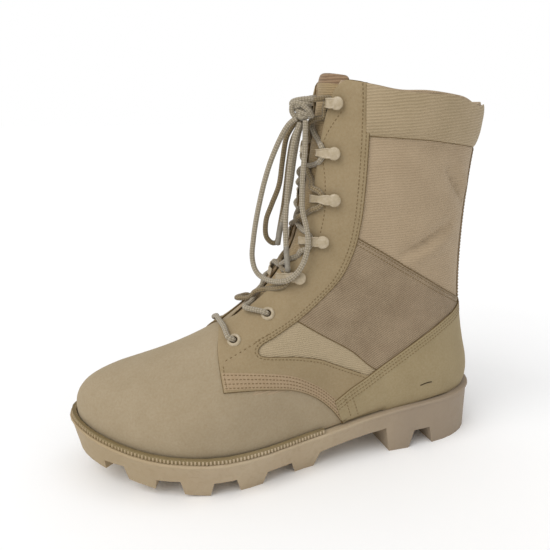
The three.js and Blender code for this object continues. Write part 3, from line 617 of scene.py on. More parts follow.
# ---------------------------------------------------------------- upper
CLEAR_OF_FACE = 0.2
FAR_OUT = 200  # a Y that is well outside the boot
LEG_SIDE = 30  # a Y near the side of the leg
upper = soften(copy_node("upper", "upper_body"))


def search_tree(piece, chosen=None):
    mesh = piece.data
    faces = [p.vertices for p in mesh.polygons if chosen is None or p.index in chosen]
    return BVHTree.FromPolygons([v.co for v in mesh.vertices], faces)


def outward_faces(piece):
    """The faces that look out into the open, and not into the boot."""
    whole = search_tree(piece)
    chosen = set()
    for face in piece.data.polygons:
        start = face.center + face.normal * (CLEAR_OF_FACE * MM)
        if whole.ray_cast(start, face.normal)[0] is None:
            chosen.add(face.index)
    return chosen


def spot(x, z, side, tree):
    """Where the boot's side has this place in the side view, or the nearest place where it has none."""
    hit = tree.ray_cast(mm(x, side * FAR_OUT, z), Vector((0, -side, 0)))[0]
    if hit is None or hit.y * side < 0:
        hit = tree.find_nearest(mm(x, side * LEG_SIDE, z))[0]
    return hit


CREASE_GRID = 3
CREASE_REACH = 2.6  # how far a crease is felt, in its own widths
CREASE_END = 0.7  # how far past its ends a crease runs out, in steps of its line
CREASE_FADE = 0.7  # below 1, so that a crease stays deep for most of its length

# Folds of the soft shaft: side, line in the side view (x, z), width and depth. A ridge's depth is below 0.
CREASES = [
    (OUTER, [(116, 167), (104, 161.5), (94, 157), (84, 153), (73, 149)], 3.2, 4.6),
    (OUTER, [(118, 158), (102, 152), (88, 147), (74, 143)], 5.5, -2.4),
    (OUTER, [(104, 208), (113, 199), (122, 190), (131, 182)], 3.4, 4.4),
    (OUTER, [(115, 209), (125, 199), (134, 191)], 5.0, -1.6),
    (OUTER, [(60, 172), (85, 180), (105, 178)], 11, 0.8),
    (OUTER, [(52, 224), (80, 222.5), (105, 219.5), (128, 216)], 3.0, 2.2),
    (INNER, [(112, 166), (95, 158), (78, 153)], 4.5, 1.4),
    (INNER, [(114, 158), (96, 149), (76, 144)], 5.5, -0.8),
    (INNER, [(110, 200), (122, 190), (134, 182)], 4.5, 1.6),
    (INNER, [(55, 176), (80, 184), (104, 176)], 10, 0.8),
]


def add_creases(piece, tree):
    for side, places, width, depth in CREASES:
        line = smooth_line([spot(x, z, side, tree) for x, z in places], CREASE_GRID * MM)
        middle = line[len(line) // 2]
        normal = tree.find_nearest(middle)[1]
        count = len(line) - 1
        for vertex in piece.data.vertices:
            if vertex.co.y * side < 0:
                continue
            distance, nearest = min(((vertex.co - p).length, i) for i, p in enumerate(line))
            reach = distance / (width * MM)
            if reach < CREASE_REACH:
                share = (nearest + CREASE_END) / (count + 2 * CREASE_END)
                fade = math.sin(math.pi * min(1.0, share)) ** CREASE_FADE
                vertex.co -= normal * depth * MM * fade * math.exp(-reach * reach)


SHAFT_FROM = 170  # height from which the leg is a plain tube
FACES_UP = 0.5  # a normal with more Z than this looks up


def faces_out(polygon):
    """Whether a face lies below the shaft, looks up, or turns away from the middle of the leg."""
    away = Vector((polygon.center.x - LEG_X * MM, polygon.center.y - MIDLINE * MM)).normalized()
    low = polygon.center.z < SHAFT_FROM * MM
    return low or polygon.normal.z > FACES_UP or polygon.normal.xy.dot(away) > 0


# Places where the soft collar's top edge sags: x, depth and half-length.
RIM_SAGS = [(62, 2.0, 13), (127, 3.0, 10)]
SAG_FROM, SAG_FADE = 236, 16  # height where a sag begins, and how far above that it is full
for vertex in upper.data.vertices:
    high = min(1.0, max(0.0, (vertex.co.z / MM - SAG_FROM) / SAG_FADE))
    drop = sum(depth * math.exp(-(((vertex.co.x / MM - x) / half) ** 2)) for x, depth, half in RIM_SAGS)
    vertex.co.z -= high * drop * MM
outside = {i for i in outward_faces(upper) if faces_out(upper.data.polygons[i])}
add_creases(upper, search_tree(upper, outside))
skin = search_tree(upper, outside)


VAMP_TOP, VAMP_REAR = 110, -36
VAMP_EDGE_X, VAMP_EDGE_Z, VAMP_SLOPE = -28, 66, 0.12  # the vamp's upper edge on the side of the foot


def is_vamp(centre):
    """Whether a place on the upper is vamp leather: over the toes, and low along the side of the foot."""
    x, z = centre.x / MM, centre.z / MM
    return z < VAMP_TOP and (x < VAMP_REAR or z < VAMP_EDGE_Z - VAMP_SLOPE * (x - VAMP_EDGE_X))


dress(upper, SHAFT_CLOTH, VAMP_LEATHER, LINING)
for polygon in upper.data.polygons:
    if polygon.index in outside:
        polygon.material_index = 1 if is_vamp(polygon.center) else 0
    else:
        polygon.material_index = 2
smooth(upper)
finish(upper, "leather", stands_for=["upper"])


# ---------------------------------------------------------------- panels sewn on the upper
def on_skin(place):
    return skin.find_nearest(place)[0]


def place_at(point, side):
    """A place in the side view (x, z), or a place in space (x, y, z) given for the outer side."""
    if len(point) == 2:
        return spot(point[0], point[1], side, skin)
    x, y, z = point
    return on_skin(mm(x, y if side == OUTER else 2 * MIDLINE - y, z))


PANEL_GRID = 3.2
HEEL_FROM = 112 * MM  # a panel that wraps the heel does so behind this place
PUFF_TOP, PUFF_FADE = 150 * MM, 20 * MM  # height where a puff ends, and how far below that it is full
PUFF_AHEAD, PUFF_ASIDE, PUFF_UP = -0.4, 12, 0.8  # a puff's way, aside with each metre from the middle
SWELL_HELD = 0.62  # share of the way across from which a swell keeps its height, up to the second edge
SWELL_ROUND = 0.6  # below 1, so that a swell rises steeply from its first edge
EDGE_ROUND = 0.35  # the rounding of a panel's edges, less on a thin one


def add_panel(name, first, second, rise, thick, slot, *materials, corners=(), across=8, swell=0.0, wrap=0.0,
              puff=0.0):
    """A sheet between two edge lines, laid rise millimetres above the upper and thick millimetres thick.

    Its first edge is at share 0 and its second at share 1. With a swell it is padded between its edges.
    With wrap its places start behind the heel, and with puff they start outside the instep, so that they
    spread evenly round it.
    """
    edges = paired_lines(first, second, PANEL_GRID * MM, corners)
    length = len(edges[0])
    deselect()
    bpy.ops.mesh.primitive_grid_add(x_subdivisions=length - 1, y_subdivisions=across, size=1)
    piece = bpy.context.object
    piece.name = piece.data.name = name
    vertices = piece.data.vertices
    for row in range(across + 1):
        for column in range(length):
            share = row / across
            place = edges[0][column].lerp(edges[1][column], share)
            behind = wrap * max(0.0, place.x - HEEL_FROM) * math.sin(math.pi * share)
            low = min(1.0, max(0.0, (PUFF_TOP - place.z) / PUFF_FADE))
            way = Vector((PUFF_AHEAD, PUFF_ASIDE * place.y, PUFF_UP))
            out = way * puff * low * math.sin(math.pi * share) * MM
            vertices[row * length + column].co = on_skin(place + Vector((behind, 0, 0)) + out)
    piece.data.update()
    dress(piece, *materials)
    if sum(p.normal.dot(skin.find_nearest(p.center)[1]) for p in piece.data.polygons) < 0:
        edit_all(piece, bpy.ops.mesh.flip_normals)
        piece.data.update()
    normals = [v.normal.copy() for v in vertices]
    for row in range(across + 1):
        bulge = math.sin(math.pi * min(row / across, SWELL_HELD)) ** SWELL_ROUND if swell else 0.0
        for column in range(length):
            vertex = vertices[row * length + column]
            vertex.co += normals[row * length + column] * (rise + swell * bulge) * MM
    modify(piece, "SOLIDIFY", thickness=thick * MM, offset=1.0, use_even_offset=False,
           material_offset_rim=1 if len(materials) > 1 else 0)
    modify(piece, "BEVEL", width=EDGE_ROUND * min(1, thick) * MM, segments=2, limit_method="ANGLE",
           angle_limit=math.radians(50))
    smooth(piece, 45)
    finish(piece, slot)
    return piece, edges


# One stitch: a short fat thread that dips into the leather at both ends, lying along X.
STITCH_LENGTH = 1.9
STITCH_HALF_WIDTH = 0.32
STITCH_SHOULDER = 0.6  # where a stitch begins to dip, from its middle
STITCH_DIP = 0.35
ROW_GRID = 2
FINE_PITCH, EDGE_PITCH, HOOK_ROW_PITCH, DASH_PITCH = 2.5, 2.6, 2.8, 3.6
deselect()
bpy.ops.mesh.primitive_cylinder_add(vertices=6, radius=STITCH_HALF_WIDTH * MM, depth=STITCH_LENGTH * MM,
                                    rotation=(0, math.pi / 2, 0))
stitch = bpy.context.object
bpy.ops.object.transform_apply(location=True, rotation=True, scale=True)
for shoulder in (STITCH_SHOULDER, -STITCH_SHOULDER):
    edit_all(stitch, bpy.ops.mesh.bisect, plane_co=(shoulder * MM, 0, 0), plane_no=(1, 0, 0))
for vertex in stitch.data.vertices:
    if abs(vertex.co.x) > 1.5 * STITCH_SHOULDER * MM:
        vertex.co.y *= 0.5
        vertex.co.z = vertex.co.z * 0.5 - STITCH_DIP * MM
STITCH_POINTS = [v.co.copy() for v in stitch.data.vertices]
STITCH_FACES = [tuple(p.vertices) for p in stitch.data.polygons]
bpy.data.objects.remove(stitch)

sewn_points, sewn_faces = [], []


def sew(line, height, pitch):
    """Adds a row of stitches along a line, lying height above the upper."""
    line = [on_skin(p) for p in line]
    walked, target = 0.0, pitch * MM / 2
    for start, end in zip(line, line[1:]):
        length = (end - start).length
        while length > 0 and walked + length >= target:
            place = start.lerp(end, (target - walked) / length)
            _, normal, _, _ = skin.find_nearest(place)
            ahead = (end - start).normalized()
            side = normal.cross(ahead).normalized()
            ahead = side.cross(normal)
            turn = Matrix((ahead, side, normal)).transposed()
            base = len(sewn_points)
            lifted = place + normal * height * MM
            sewn_points.extend(lifted + turn @ p for p in STITCH_POINTS)
            sewn_faces.extend(tuple(base + i for i in face) for face in STITCH_FACES)
            target += pitch * MM
        walked += length


def inside(edges, distance, which=0, start=0.0, end=1.0):
    """A line that runs this many millimetres inside one edge of a panel."""
    near, far = edges[which], edges[1 - which]
    count = len(near)
    line = []
    for index in range(int(start * (count - 1)), int(end * (count - 1)) + 1):
        across = far[index] - near[index]
        line.append(near[index] + across.normalized() * distance * MM)
    return line


FACING_THICK, WEB_THICK, COUNTER_THICK, GORE_THICK, STRIP_THICK = 1.3, 0.7, 1.9, 0.3, 1.2
BEAD_RADIUS = 0.36
seam_shade_beads = []


def shade_seam_edge(line, height, start=0.0, end=1.0):
    """Painted seam shade along a cut edge: a thin dark bead at its foot, where the crevice is."""
    count = len(line) - 1
    places = [on_skin(p) for p in line[int(start * count) : int(end * count) + 1]]
    bead = [p + skin.find_nearest(p)[1] * height * MM for p in places]
    seam_shade_beads.append(tube("edge_bead", bead, BEAD_RADIUS * MM, 6))


# The facing runs down beside the lacing, crosses the instep and sweeps back along the side of the foot.
# Its front edge is given in space, and the other edges below in the side view, or in space at the heel.
FACING_FRONT = [
    (33, -20, 266), (27.5, -15.5, 258), (23, -12, 246), (19.5, -11, 230), (16, -10, 205), (12.9, -9.3, 184),
    (8.5, -9, 168), (3.7, -8, 152), (-6, -8.5, 137), (-17, -8.3, 124.9), (-31, -6, 113.6),
    (-41, -3, 107.2), (-48.8, 0.5, 102.6), (-52.5, -12.8, 98.8), (-55.6, -22.8, 92.1),
    (-56.9, -33.5, 82.4), (-57.1, -44.7, 71.2), (-39.9, -44.9, 70.3), (-25.9, -43.3, 68.3),
    (-11, -40.3, 64.8), (0.8, -37.3, 59.6), (12.5, -35.6, 51.9), (22.9, -34.5, 41.5), (29, -34, 33),
]
FACING_REAR = [
    (44.5, 261.4), (44.6, 256), (44.7, 246), (44.7, 228.4), (44.2, 203), (43.5, 187), (42.4, 173),
    (39, 155), (31, 137), (19, 124), (3.5, 111.5), (-8, 104.5), (-19, 98.8), (-27.3, 95), (-30.6, 91.5),
    (-29.6, 88.5), (-25, 87), (-18, 86.2), (-9.5, 85.2), (-1.2, 83.7), (13.6, 79.8), (25, 74.6),
    (38, 68.6), (53, 62),
]
FACING_CORNERS = (12, 16)

# Webbing saddle on the ankle, between its upper and its lower edge.
WEB_UPPER = [(36, 165.5), (41.8, 161.8), (56.8, 152.9), (72.4, 143.3), (89.6, 132.9), (110.3, 120.5),
             (126.2, 111.4), (133, 107.5), (139, 4, 104.5)]
WEB_LOWER = [(-6, 111), (-1.7, 108.1), (14.4, 97.6), (37.1, 83.2), (59.5, 66), (82, 74), (106, 84),
             (128, 92), (139, 4, 98)]

# Ribbed gore between the webbing and the facing.
GORE_UPPER = [(-38, 97), (-26, 103), (-12, 106), (0, 107), (14, 99), (37, 84.5), (58, 68)]
GORE_LOWER = [(-38, 88), (-26, 83), (-12, 81), (0, 79), (14, 75), (37, 65), (56, 58)]

# Counter round the heel: upper edge from the outer side to the back, and the lower edge at the sole.
COUNTER_UPPER = [(23.5, 48.8), (28.6, 51.5), (36.5, 56), (49.2, 62.1), (59.5, 68), (76.4, 77), (93.3, 85.6),
                 (112.4, 94.1), (124.2, 98), (134, 101.5), (138.6, 4, 103.5)]
COUNTER_LOWER = [(30, 30), (34, 30), (41, 31), (52, 32), (62, 33), (78, 35), (94, 36.5), (113, 37.2),
                 (127, 37.6), (142, -14, 37.8), (149, 5, 38)]

BAND_THICK = 0.15
BAND_EDGES = (0.6, 9.3)
BAND_ROWS = (1.5, 3.7, 5.9, 8.1)
BAND_INSET = 0.8  # how far behind the facing's front edge the band begins
LEAN_FROM, LEAN = 0.8, 60  # the place behind which the band's rows shift back, and a measure of how slowly
BAND_TAPER = 0.012  # the share of its width that the band loses with each millimetre behind X 0


def band_line(lift, side):
    """A line along the facing's lower edge, this many millimetres above it, closing up towards the heel."""
    line = []
    for number, (x, _, z) in enumerate(FACING_FRONT[FACING_CORNERS[1] :]):
        ahead = BAND_INSET if number == 0 else lift * max(0, x - LEAN_FROM) / LEAN
        line.append(place_at((x + ahead, z + lift * (1 - BAND_TAPER * max(0, x))), side))
    return line


# Rows of stitches in the side view, beside the hooks, across the instep and down the facing's front.
HOOK_ROW = ((22, 246), (21, 225), (21, 200), (20.5, 182), (17.5, 165))
INSTEP_ROW = ((-53.5, 86), (-42.3, 90.9), (-28.8, 97.3), (-21, 101.5))
FRONT_ROW = ((-54.4, 84), (-55, 78), (-54.9, 72.5))


def sew_row(places, side, height, pitch):
    """A row of stitches through a few places in the side view."""
    sew(smooth_line([place_at(p, side) for p in places], ROW_GRID * MM), height, pitch)


for side, word in SIDES.items():
    web_edges = [[place_at(p, side) for p in edge] for edge in (WEB_UPPER, WEB_LOWER)]
    _, web = add_panel(f"webbing_{word}", *web_edges, 0.0, WEB_THICK, "tongue_fabric", WEBBING, across=20)
    for distance in (1.6, 4.2):
        sew(inside(web, distance), WEB_THICK, FINE_PITCH)

    gore_edges = [[place_at(p, side) for p in edge] for edge in (GORE_UPPER, GORE_LOWER)]
    add_panel(f"side_gore_{word}", *gore_edges, 0.0, GORE_THICK, "tongue_fabric", INSERT_CLOTH)

    front = [place_at(p, side) for p in FACING_FRONT]
    rear = [place_at(p, side) for p in FACING_REAR]
    _, facing = add_panel(f"facing_{word}", front, rear, 0.0, FACING_THICK, "leather", FACING_LEATHER,
                          CUT_EDGE_AND_SEAM_SHADE, corners=FACING_CORNERS, across=14, puff=7)
    # Painted shade along the foot of the webbing's and the facing's edges.
    for edge in web:
        shade_seam_edge(edge, WEB_THICK - 0.1)
    shade_seam_edge(facing[1], 1.0, 0, 0.98)
    shade_seam_edge(facing[0], 0.35, 0.56, 1)
    shade_seam_edge([facing[0][0].lerp(facing[1][0], i / 8) for i in range(9)], 0.9)
    sew(inside(facing, 1.9, 1), FACING_THICK, EDGE_PITCH)
    sew(inside(facing, 4.6, 1, 0, 0.6), FACING_THICK, EDGE_PITCH)
    sew_row(HOOK_ROW, side, FACING_THICK, HOOK_ROW_PITCH)
    sew_row(INSTEP_ROW, side, FACING_THICK, DASH_PITCH)
    sew_row(FRONT_ROW, side, FACING_THICK, FINE_PITCH)

    band = [band_line(lift, side) for lift in BAND_EDGES]
    add_panel(f"facing_band_{word}", *band, FACING_THICK, BAND_THICK, "leather", BAND_LEATHER, across=4)
    for lift in BAND_ROWS:
        sew(smooth_line(band_line(lift, side), ROW_GRID * MM), FACING_THICK + BAND_THICK, FINE_PITCH)


def round_heel(edge):
    """The places of an edge that runs from the outer side round the back to the inner side."""
    outer, inner = ([place_at(p, side) for p in edge] for side in (OUTER, INNER))
    return outer + inner[-2::-1]


_, counter = add_panel("heel_counter", round_heel(COUNTER_UPPER), round_heel(COUNTER_LOWER), 0.0,
                       COUNTER_THICK, "leather", COUNTER_LEATHER, CUT_EDGE_AND_SEAM_SHADE, across=14, wrap=0.9)
# Painted shade along the foot of the counter's top edge.
shade_seam_edge(counter[0], 1.45)
for distance in (1.8, 4.4, 7.0):
    sew(inside(counter, distance), COUNTER_THICK, FINE_PITCH)
for x in (33.5, 39.5):
    for side in (OUTER, INNER):
        sew_row(((x - 2.5, 50), (x, 44), (x + 3, 35)), side, COUNTER_THICK, EDGE_PITCH)

# Webbing strip up the back of the shaft: height and x of its middle, and the y of its two edges.
BACK_STRIP = [(103.5, 138.6), (120, 137.4), (141, 136.4), (160, 136.2), (180, 137.2), (200, 138.6),
              (218, 140.2)]
STRIP_EDGES = (-6.5, 12)
strip = [[on_skin(mm(x, y, z)) for z, x in BACK_STRIP] for y in STRIP_EDGES]
_, back = add_panel("back_strip", *strip, 0.0, STRIP_THICK, "tongue_fabric", WEBBING, wrap=0.5)
for which in (0, 1):
    sew(inside(back, 2.0, which), STRIP_THICK, FINE_PITCH)

# Padded collar from one facing round the back to the other.
COLLAR_LOW = [(43, 229.6), (48, 229.4), (63.6, 228.4), (83.2, 226.9), (102.7, 224.3), (121.7, 221.6),
              (132.9, 219.7), (141, 4, 218.3)]
COLLAR_HIGH = [(43, 261.8), (48, 260.4), (60, 257.4), (80, 255.8), (96, 255), (104, 253.6), (118, 250.2),
               (128, 248), (137, 249.2), (144, 4, 249.6)]
collar, collar_edges = add_panel("collar_pad", round_heel(COLLAR_LOW), round_heel(COLLAR_HIGH), -0.6, 0.9,
                                 "tongue_fabric", COLLAR_CLOTH, across=12, swell=2.8)
# Painted shade in the crease under the padded collar.
shade_seam_edge(collar_edges[0], 0.25)
# The beads of painted seam shade, joined into one piece.
finish(join("edge_dressing", seam_shade_beads), "leather", CUT_EDGE_AND_SEAM_SHADE)

# ---------------------------------------------------------------- sole
outsole = copy_node("outsole", "outsole_moulded")
edit_all(outsole, bpy.ops.mesh.dissolve_limited, angle_limit=math.radians(2))
modify(outsole, "BEVEL", width=0.7 * MM, segments=2, limit_method="ANGLE", angle_limit=math.radians(32))
smooth(outsole, 30)
finish(outsole, "sole_rubber", RUBBER, stands_for=["outsole"])

welt = copy_node("welt", "storm_welt")
smooth(welt, 40)
finish(welt, "sole_rubber", WELT_RUBBER, stands_for=["welt"])

dress(bpy.data.objects["insole"], FOOTBED)

# ---------------------------------------------------------------- tongue
tongue = soften(copy_node("tongue", "tongue_soft"))
BINDING_DEEP = 6.5
BINDING_BOW = 0.0045  # how the binding deepens towards the tongue's sides
BINDING_PROUD = 0.6
tongue_top = max(v.co.z for v in tongue.data.vertices)


def bound(place):
    """Whether a place on the tongue is under the binding on its top edge."""
    return place.z > tongue_top - (BINDING_DEEP + BINDING_BOW * (place.y / MM - MIDLINE) ** 2) * MM


for vertex in [v for v in tongue.data.vertices if bound(v.co)]:
    vertex.co += vertex.normal * BINDING_PROUD * MM
dress(tongue, TONGUE_CLOTH, BINDING)
for polygon in tongue.data.polygons:
    polygon.material_index = 1 if bound(polygon.center) else 0
smooth(tongue)
finish(tongue, "tongue_fabric", stands_for=["tongue"])

# ---------------------------------------------------------------- hooks, eyelets and the laced cords
# Places in the side view, from the toe up.
EYELETS = [(-44.3, 97.2), (-20.1, 112.7)]
HOOKS = [(3.3, 134.9), (19, 159.9), (26, 188.2), (26.5, 218.2), (28.6, 249.5)]
LACE_LIFT = FACING_THICK + LACE_WIDTH / 2 + 0.1
STRIDE = 0.5


def walk(place, ahead, distance):
    """Goes some millimetres over the upper, holding its heading. Gives place, normal and heading there."""
    place, normal, _, _ = skin.find_nearest(place)
    steps = max(1, round(distance / STRIDE))
    for _ in range(steps):
        ahead = (ahead - normal * ahead.dot(normal)).normalized()
        place, normal, _, _ = skin.find_nearest(place + ahead * distance / steps * MM)
    return place, normal, (ahead - normal * ahead.dot(normal)).normalized()


def hold(x, z, side):
    """The place of a hook or eyelet, its normal, and the two ways on the leather: to the lacing and up."""
    place = spot(x, z, side, skin)
    normal = skin.find_nearest(place)[1]
    up = (Vector((0, 0, 1)) - normal * normal.z).normalized()
    ahead = up.cross(normal)
    return place, normal, ahead if ahead.x < 0 else -ahead, up


# A hook's arm, from its end by the lacing back to its disc: distance from the disc, height and half-width.
ARM = [(17.2, 2.6, 2.3), (15.5, 2.7, 2.2), (13.6, 2.9, 2.0), (11.6, 3.6, 1.8), (10.2, 4.6, 1.8),
       (8.4, 5.3, 2.0), (6.2, 5.5, 2.5), (3.8, 5.4, 2.8), (1.5, 5.1, 2.4)]
ARM_GRID = 0.8
RAIL_RADIUS = 0.62
PLATE_HALF = 0.3
DISC_LIFT = 4.9

# Sections as radius and height.
DISC_PROFILE = [(0, 1.4), (1.9, 1.25), (2.6, 0.85), (3.0, 0.85), (3.8, 0.65), (4.25, 0.25), (4.35, -0.2),
                (4.1, -0.6), (0, -0.75)]
EYELET_PROFILE = [(2.4, -0.9), (2.4, 0.35), (2.75, 0.95), (3.4, 1.2), (4.1, 1.0), (4.65, 0.45), (4.8, -0.1),
                  (4.8, -0.9), (2.4, -0.9)]
HOLE_PROFILE = [(0, 0.1), (1.6, 0.12), (2.6, 0.3)]


def make_plate(stations, across):
    """The flat middle of a hook's arm, as wide at each station as the table says."""
    line = smooth_line(stations, ARM_GRID * MM)
    last = len(ARM) - 1
    points, faces = [], []
    for index, point in enumerate(line):
        out = skin.find_nearest(point)[1]
        station = index / (len(line) - 1) * last
        low = min(int(station), last - 1)
        half = ARM[low][2] + (ARM[low + 1][2] - ARM[low][2]) * (station - low)
        for sign, lift in ((-1, PLATE_HALF), (1, PLATE_HALF), (1, -PLATE_HALF), (-1, -PLATE_HALF)):
            points.append(point + across * sign * half * MM + out * lift * MM)
        if index:
            base = 4 * index
            for a, b in ((0, 1), (1, 2), (2, 3), (3, 0)):
                faces.append((base + a, base + b, base + b - 4, base + a - 4))
    faces.append((0, 1, 2, 3))
    faces.append(tuple(len(points) - n for n in (1, 2, 3, 4)))
    return point_outwards(add_piece("plate", points, faces))


def make_hook(name, x, z, side):
    """A speed hook: an arm of two round rails and a plate, and a disc over the leather."""
    place, normal, ahead, up = hold(x, z, side)
    stations = []
    for distance, height, _ in ARM:
        point, out, _ = walk(place, ahead, distance)
        stations.append(point + out * height * MM)
    across = up.cross(normal).cross(normal).normalized()
    parts = []
    for sign in (-1, 1):
        rail = [p + across * sign * half * MM for p, (_, _, half) in zip(stations, ARM)]
        parts.append(tube("rail", smooth_line(rail, ARM_GRID * MM), RAIL_RADIUS * MM, 8))
    parts.append(make_plate(stations, across))
    parts.append(stand(turned("disc", DISC_PROFILE), place + normal * DISC_LIFT * MM, normal, ahead))
    for part in parts:
        if not part.data.uv_layers:
            part.data.uv_layers.new(name="UVMap")
    hook = join(name, parts)
    smooth(hook, 40)
    return hook


for side, word in SIDES.items():
    for number, (x, z) in enumerate(HOOKS, 1):
        finish(make_hook(f"speed_hook_{word}_{number}", x, z, side), "painted_brass", PAINTED_BRASS,
               stands_for=[f"hook_{word}_{number}"])
    for number, (x, z) in enumerate(EYELETS, 1):
        place, normal, ahead, _ = hold(x, z, side)
        seat = place + normal * FACING_THICK * MM
        ring = stand(turned(f"eyelet_ring_{word}_{number}", EYELET_PROFILE, 32), seat, normal, ahead)
        smooth(ring, 60)
        finish(ring, "painted_brass", PAINTED_BRASS, stands_for=[f"eyelet_{word}_{number}"])
        # A dark disc inside the eyelet's ring: painted shade of the hole.
        hole = stand(turned(f"eyelet_hole_{word}_{number}", HOLE_PROFILE), seat, normal, ahead)
        if hole.data.polygons[0].normal.dot(normal) < 0:
            hole.data.flip_normals()
        finish(hole, "leather", HOLE_SHADE_AND_SCRAPE)

tongue_front = search_tree(tongue, outward_faces(tongue))
# The lace's turn behind a hook: distance ahead of the disc, and rise.
LACE_TURN = [(14.5, -7.4), (9.4, -4.8), (7.2, 0), (9.4, 4.8), (14.5, 7.4)]


def turn_round_hook(x, z, side):
    """Places of the lace as it comes up from the lacing, behind the neck of a hook and out again."""
    place, _, ahead, up = hold(x, z, side)
    places = []
    for distance, rise in LACE_TURN:
        raised, _, _ = walk(place, up if rise > 0 else -up, abs(rise)) if rise else (place, None, None)
        point, normal, _ = walk(raised, ahead, distance)
        places.append((point + normal * LACE_LIFT * MM, normal))
    return places


BEFORE_TONGUE = 8  # how far before the lacing the tongue's front is looked for
TONGUE_GAP = 0.5
CROSSING_SPREAD = 0.45  # how much of a crossing's lift is left beside it


def over_tongue(start, end, extra):
    """Places of the lace across the tongue, with extra lift where it passes over its twin."""
    (a, a_out), (b, b_out) = start, end
    front = (a_out + b_out).normalized()
    places = []
    for share in (0.25, 0.5, 0.75):
        seat, out, _, _ = tongue_front.find_nearest(a.lerp(b, share) + front * BEFORE_TONGUE * MM)
        lift = LACE_WIDTH / 2 + TONGUE_GAP + extra * (1 if share == 0.5 else CROSSING_SPREAD)
        places.append(seat + out * lift * MM)
    return places


def out_of_eyelet(x, z, side):
    """The lace comes up through the eyelet and bends over its rim towards the lacing."""
    place, normal, ahead, up = hold(x, z, side)
    return [
        (place + (normal * (FACING_THICK - 0.6) + ahead * 0.3) * MM, normal),
        (place + (normal * (FACING_THICK + 1.6) + ahead * 1.0) * MM, normal),
        (place + (normal * (FACING_THICK + 2.9) + ahead * 3.6 + up * 0.4) * MM, normal),
    ]


KNOT = mm(9, -4, 248.5)
LACE_GRID = 1.5 * MM
INSTEP_WALK = 12  # from the upper eyelet to where the lace leaves the leather
for first, extra in ((OUTER, 0.3), (INNER, LACE_WIDTH - 0.2)):
    places = out_of_eyelet(*EYELETS[1], first)
    point, out, _ = walk(places[-1][0], hold(*EYELETS[1], first)[2], INSTEP_WALK)
    places.append((point + out * LACE_LIFT * MM + mm(0, 0, 3), out))
    line = [p for p, _ in places]
    side = -first
    last = places[-1]
    for number, (x, z) in enumerate(HOOKS):
        turning = turn_round_hook(x, z, side)
        line.extend(over_tongue(last, turning[0], extra if number % 2 == 0 else LACE_WIDTH + 0.1 - extra))
        if number == len(HOOKS) - 1:
            turning = turning[:4]
        line.extend(p for p, _ in turning)
        last = turning[-1]
        side = -side
    line.append(KNOT + mm(3.5, 9 if side == OUTER else -6.5, 3.5))
    line.append(KNOT + mm(0, 3 if side == OUTER else -2, 1.5))
    strand = tube(f"lace_strand_{SIDES[first]}", smooth_line(line, LACE_GRID), LACE_RADIUS)
    # The strand from the inner side takes the lace painted as shade.
    finish(strand, "lace", LACE_SHADED if first == INNER else LACE_GREY, stands_for=["lace_crossings"])

bar = [p for p, _ in out_of_eyelet(*EYELETS[0], OUTER)]
far = out_of_eyelet(*EYELETS[0], INNER)
for share in (0.2, 0.4, 0.6, 0.8):
    seat, out, _, _ = skin.find_nearest(bar[2].lerp(far[2][0], share) + mm(-2.5, 0, 8))
    bar.append(seat + out * (LACE_LIFT + 0.4) * MM)
bar.extend(p for p, _ in far[::-1])
lowest = tube("lace_bar", smooth_line(bar, LACE_GRID), LACE_RADIUS)
finish(lowest, "lace", LACE_GREY, stands_for=["lace_lowest_bar"])

WRAP_TURNS, WRAP_STEPS = 1.08, 26
WRAP_SQUEEZE = 0.98
CORE_RADIUS = 4.4


def ring_line(centre, along, across):
    """A little over one turn round a centre, between two half-widths given as vectors."""
    line = []
    for step in range(WRAP_STEPS + 1):
        angle = 2 * math.pi * WRAP_TURNS * step / WRAP_STEPS
        line.append(centre + (along * math.cos(angle) + across * math.sin(angle)) * MM)
    return line


def knot_line(*places):
    """A smooth line through places given from the knot's middle."""
    return smooth_line([KNOT + mm(*place) for place in places], 1.2 * MM)


# The bow's knot: two wraps round the bundle, one bar over the top and a short bight in front.
wraps = [
    ring_line(KNOT + mm(-0.5, -0.5, 0.2), Vector((5.6, 0.4, 0.9)), Vector((0.3, 6.0, -1.2))),
    ring_line(KNOT + mm(0.2, -0.8, -3.6), Vector((4.9, 0, -1.2)), Vector((0, 5.4, 1.6))),
    knot_line((5.5, -6.5, 3.6), (1.5, -7, 4.2), (-4.5, -4.5, 3.6), (-7, 0.5, 2.2), (-5.5, 5, 0),
              (0, 6.5, -2)),
    knot_line((4.5, -5, -7), (1, -7.5, -3), (-4, -6.5, 1.2), (-7.5, -3, 1.5), (-8, -1, -3.5),
              (-5.5, -2, -8)),
]
core = knot_line((1, 0, 4), (0.5, -0.5, 1), (-0.5, -1.5, -3), (-1.5, -2.5, -8))
bundle = [tube("wrap", wrap, LACE_RADIUS * WRAP_SQUEEZE) for wrap in wraps]
bundle.append(tube("core", core, CORE_RADIUS * MM, 16))
finish(join("lace_bow_knot", bundle), "lace", LACE_GREY, stands_for=["lace_knot"])

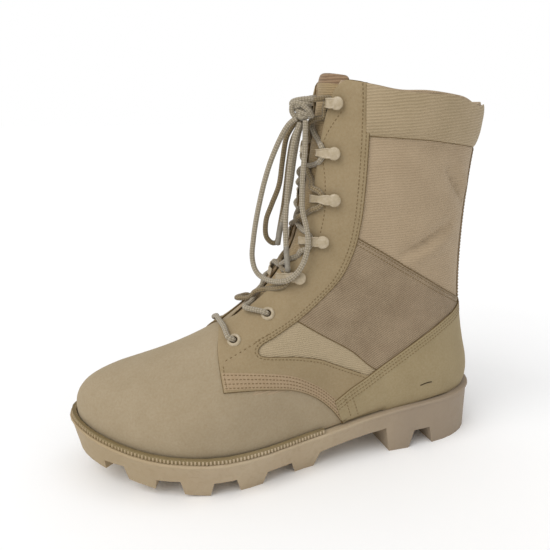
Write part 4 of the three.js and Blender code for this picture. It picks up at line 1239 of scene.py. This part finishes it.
# ---------------------------------------------------------------- ribs of the storm welt
welt_mesh = bpy.data.objects["welt"].data
welt_mesh.calc_loop_triangles()
welt_faces = [triangle.vertices for triangle in welt_mesh.loop_triangles]
welt_tree = BVHTree.FromPolygons([v.co for v in welt_mesh.vertices], welt_faces)
HUB = (-34, 1)  # a place inside the forefoot, x and y
FAN_START, FAN_STEPS = 30, 360  # the welt is looked for all round but for this many degrees each side of +X
WELT_HEIGHTS = range(45, 105)  # in half millimetres
RIB_PITCH, RIB_WIDTH, RIB_DEEP = 2.5, 1.35, 2.6
RIB_PROUD = 0.75  # how far a rib stands out of the welt's mean wall
RIB_LOW, RIB_HIGH, RIB_HIGH_DEEP = -1.6, 0.9, 1.5  # a rib's foot, its top outside and its top at the upper
FIRST_RIB = 1.5
WELT_BREAK = 12  # a longer step than this is a gap in the welt
wall_line = []
for step in range(FAN_STEPS + 1):
    angle = math.radians(FAN_START + step * (360 - 2 * FAN_START) / FAN_STEPS)
    way = Vector((math.cos(angle), math.sin(angle), 0))
    hits = []
    for height in WELT_HEIGHTS:
        hit = welt_tree.ray_cast(mm(*HUB, height / 2) + way * (FAR_OUT * MM), -way)[0]
        if hit is not None and (hit - mm(*HUB, height / 2)).dot(way) > 0:
            hits.append(hit)
    if hits:
        wall_line.append(sum(hits, Vector()) / len(hits))
RIB_FACES = ((0, 1, 3, 2), (4, 6, 7, 5), (0, 4, 5, 1), (2, 3, 7, 6), (0, 2, 6, 4), (1, 5, 7, 3))
rib_points, rib_faces = [], []
walked, target = 0.0, FIRST_RIB * MM
for start, end in zip(wall_line, wall_line[1:]):
    length = (end - start).length
    if length > WELT_BREAK * MM:
        continue
    while walked + length >= target:
        middle = start.lerp(end, (target - walked) / length)
        ahead = (end - start).normalized()
        inward = ahead.cross(Vector((0, 0, 1))).normalized()
        if inward.dot(mm(*HUB, 0) - middle) < 0:
            inward = -inward
        base = len(rib_points)
        for back, high in ((-RIB_PROUD, RIB_HIGH), (RIB_DEEP, RIB_HIGH_DEEP)):
            for height in (RIB_LOW, high):
                for sign in (-1, 1):
                    corner = (inward * back + ahead * sign * RIB_WIDTH / 2) * MM
                    rib_points.append(middle + corner + mm(0, 0, height))
        rib_faces.extend(tuple(base + i for i in face) for face in RIB_FACES)
        target += RIB_PITCH * MM
    walked += length
ribs = point_outwards(add_piece("welt_ribs", rib_points, rib_faces))
modify(ribs, "BEVEL", width=0.35 * MM, segments=1, limit_method="ANGLE", angle_limit=math.radians(40))
finish(smooth(ribs, 50), "sole_rubber", RUBBER)

# A scrape on the counter, in the side view.
SCRAPE = ((92.5, 50.2), (96, 50.9), (99, 51.2), (102.3, 51.1))
SCRAPE_RADIUS = 0.42
scrape = [on_skin(place_at(p, OUTER)) for p in SCRAPE]
scrape = [p + skin.find_nearest(p)[1] * COUNTER_THICK * MM for p in scrape]
finish(tube("heel_scrape", smooth_line(scrape, 1.2 * MM), SCRAPE_RADIUS * MM, 6), "leather", HOLE_SHADE_AND_SCRAPE)

# ---------------------------------------------------------------- stitches
seams = add_piece("stitching", sewn_points, sewn_faces)
smooth(seams)
finish(seams, "leather", THREAD)
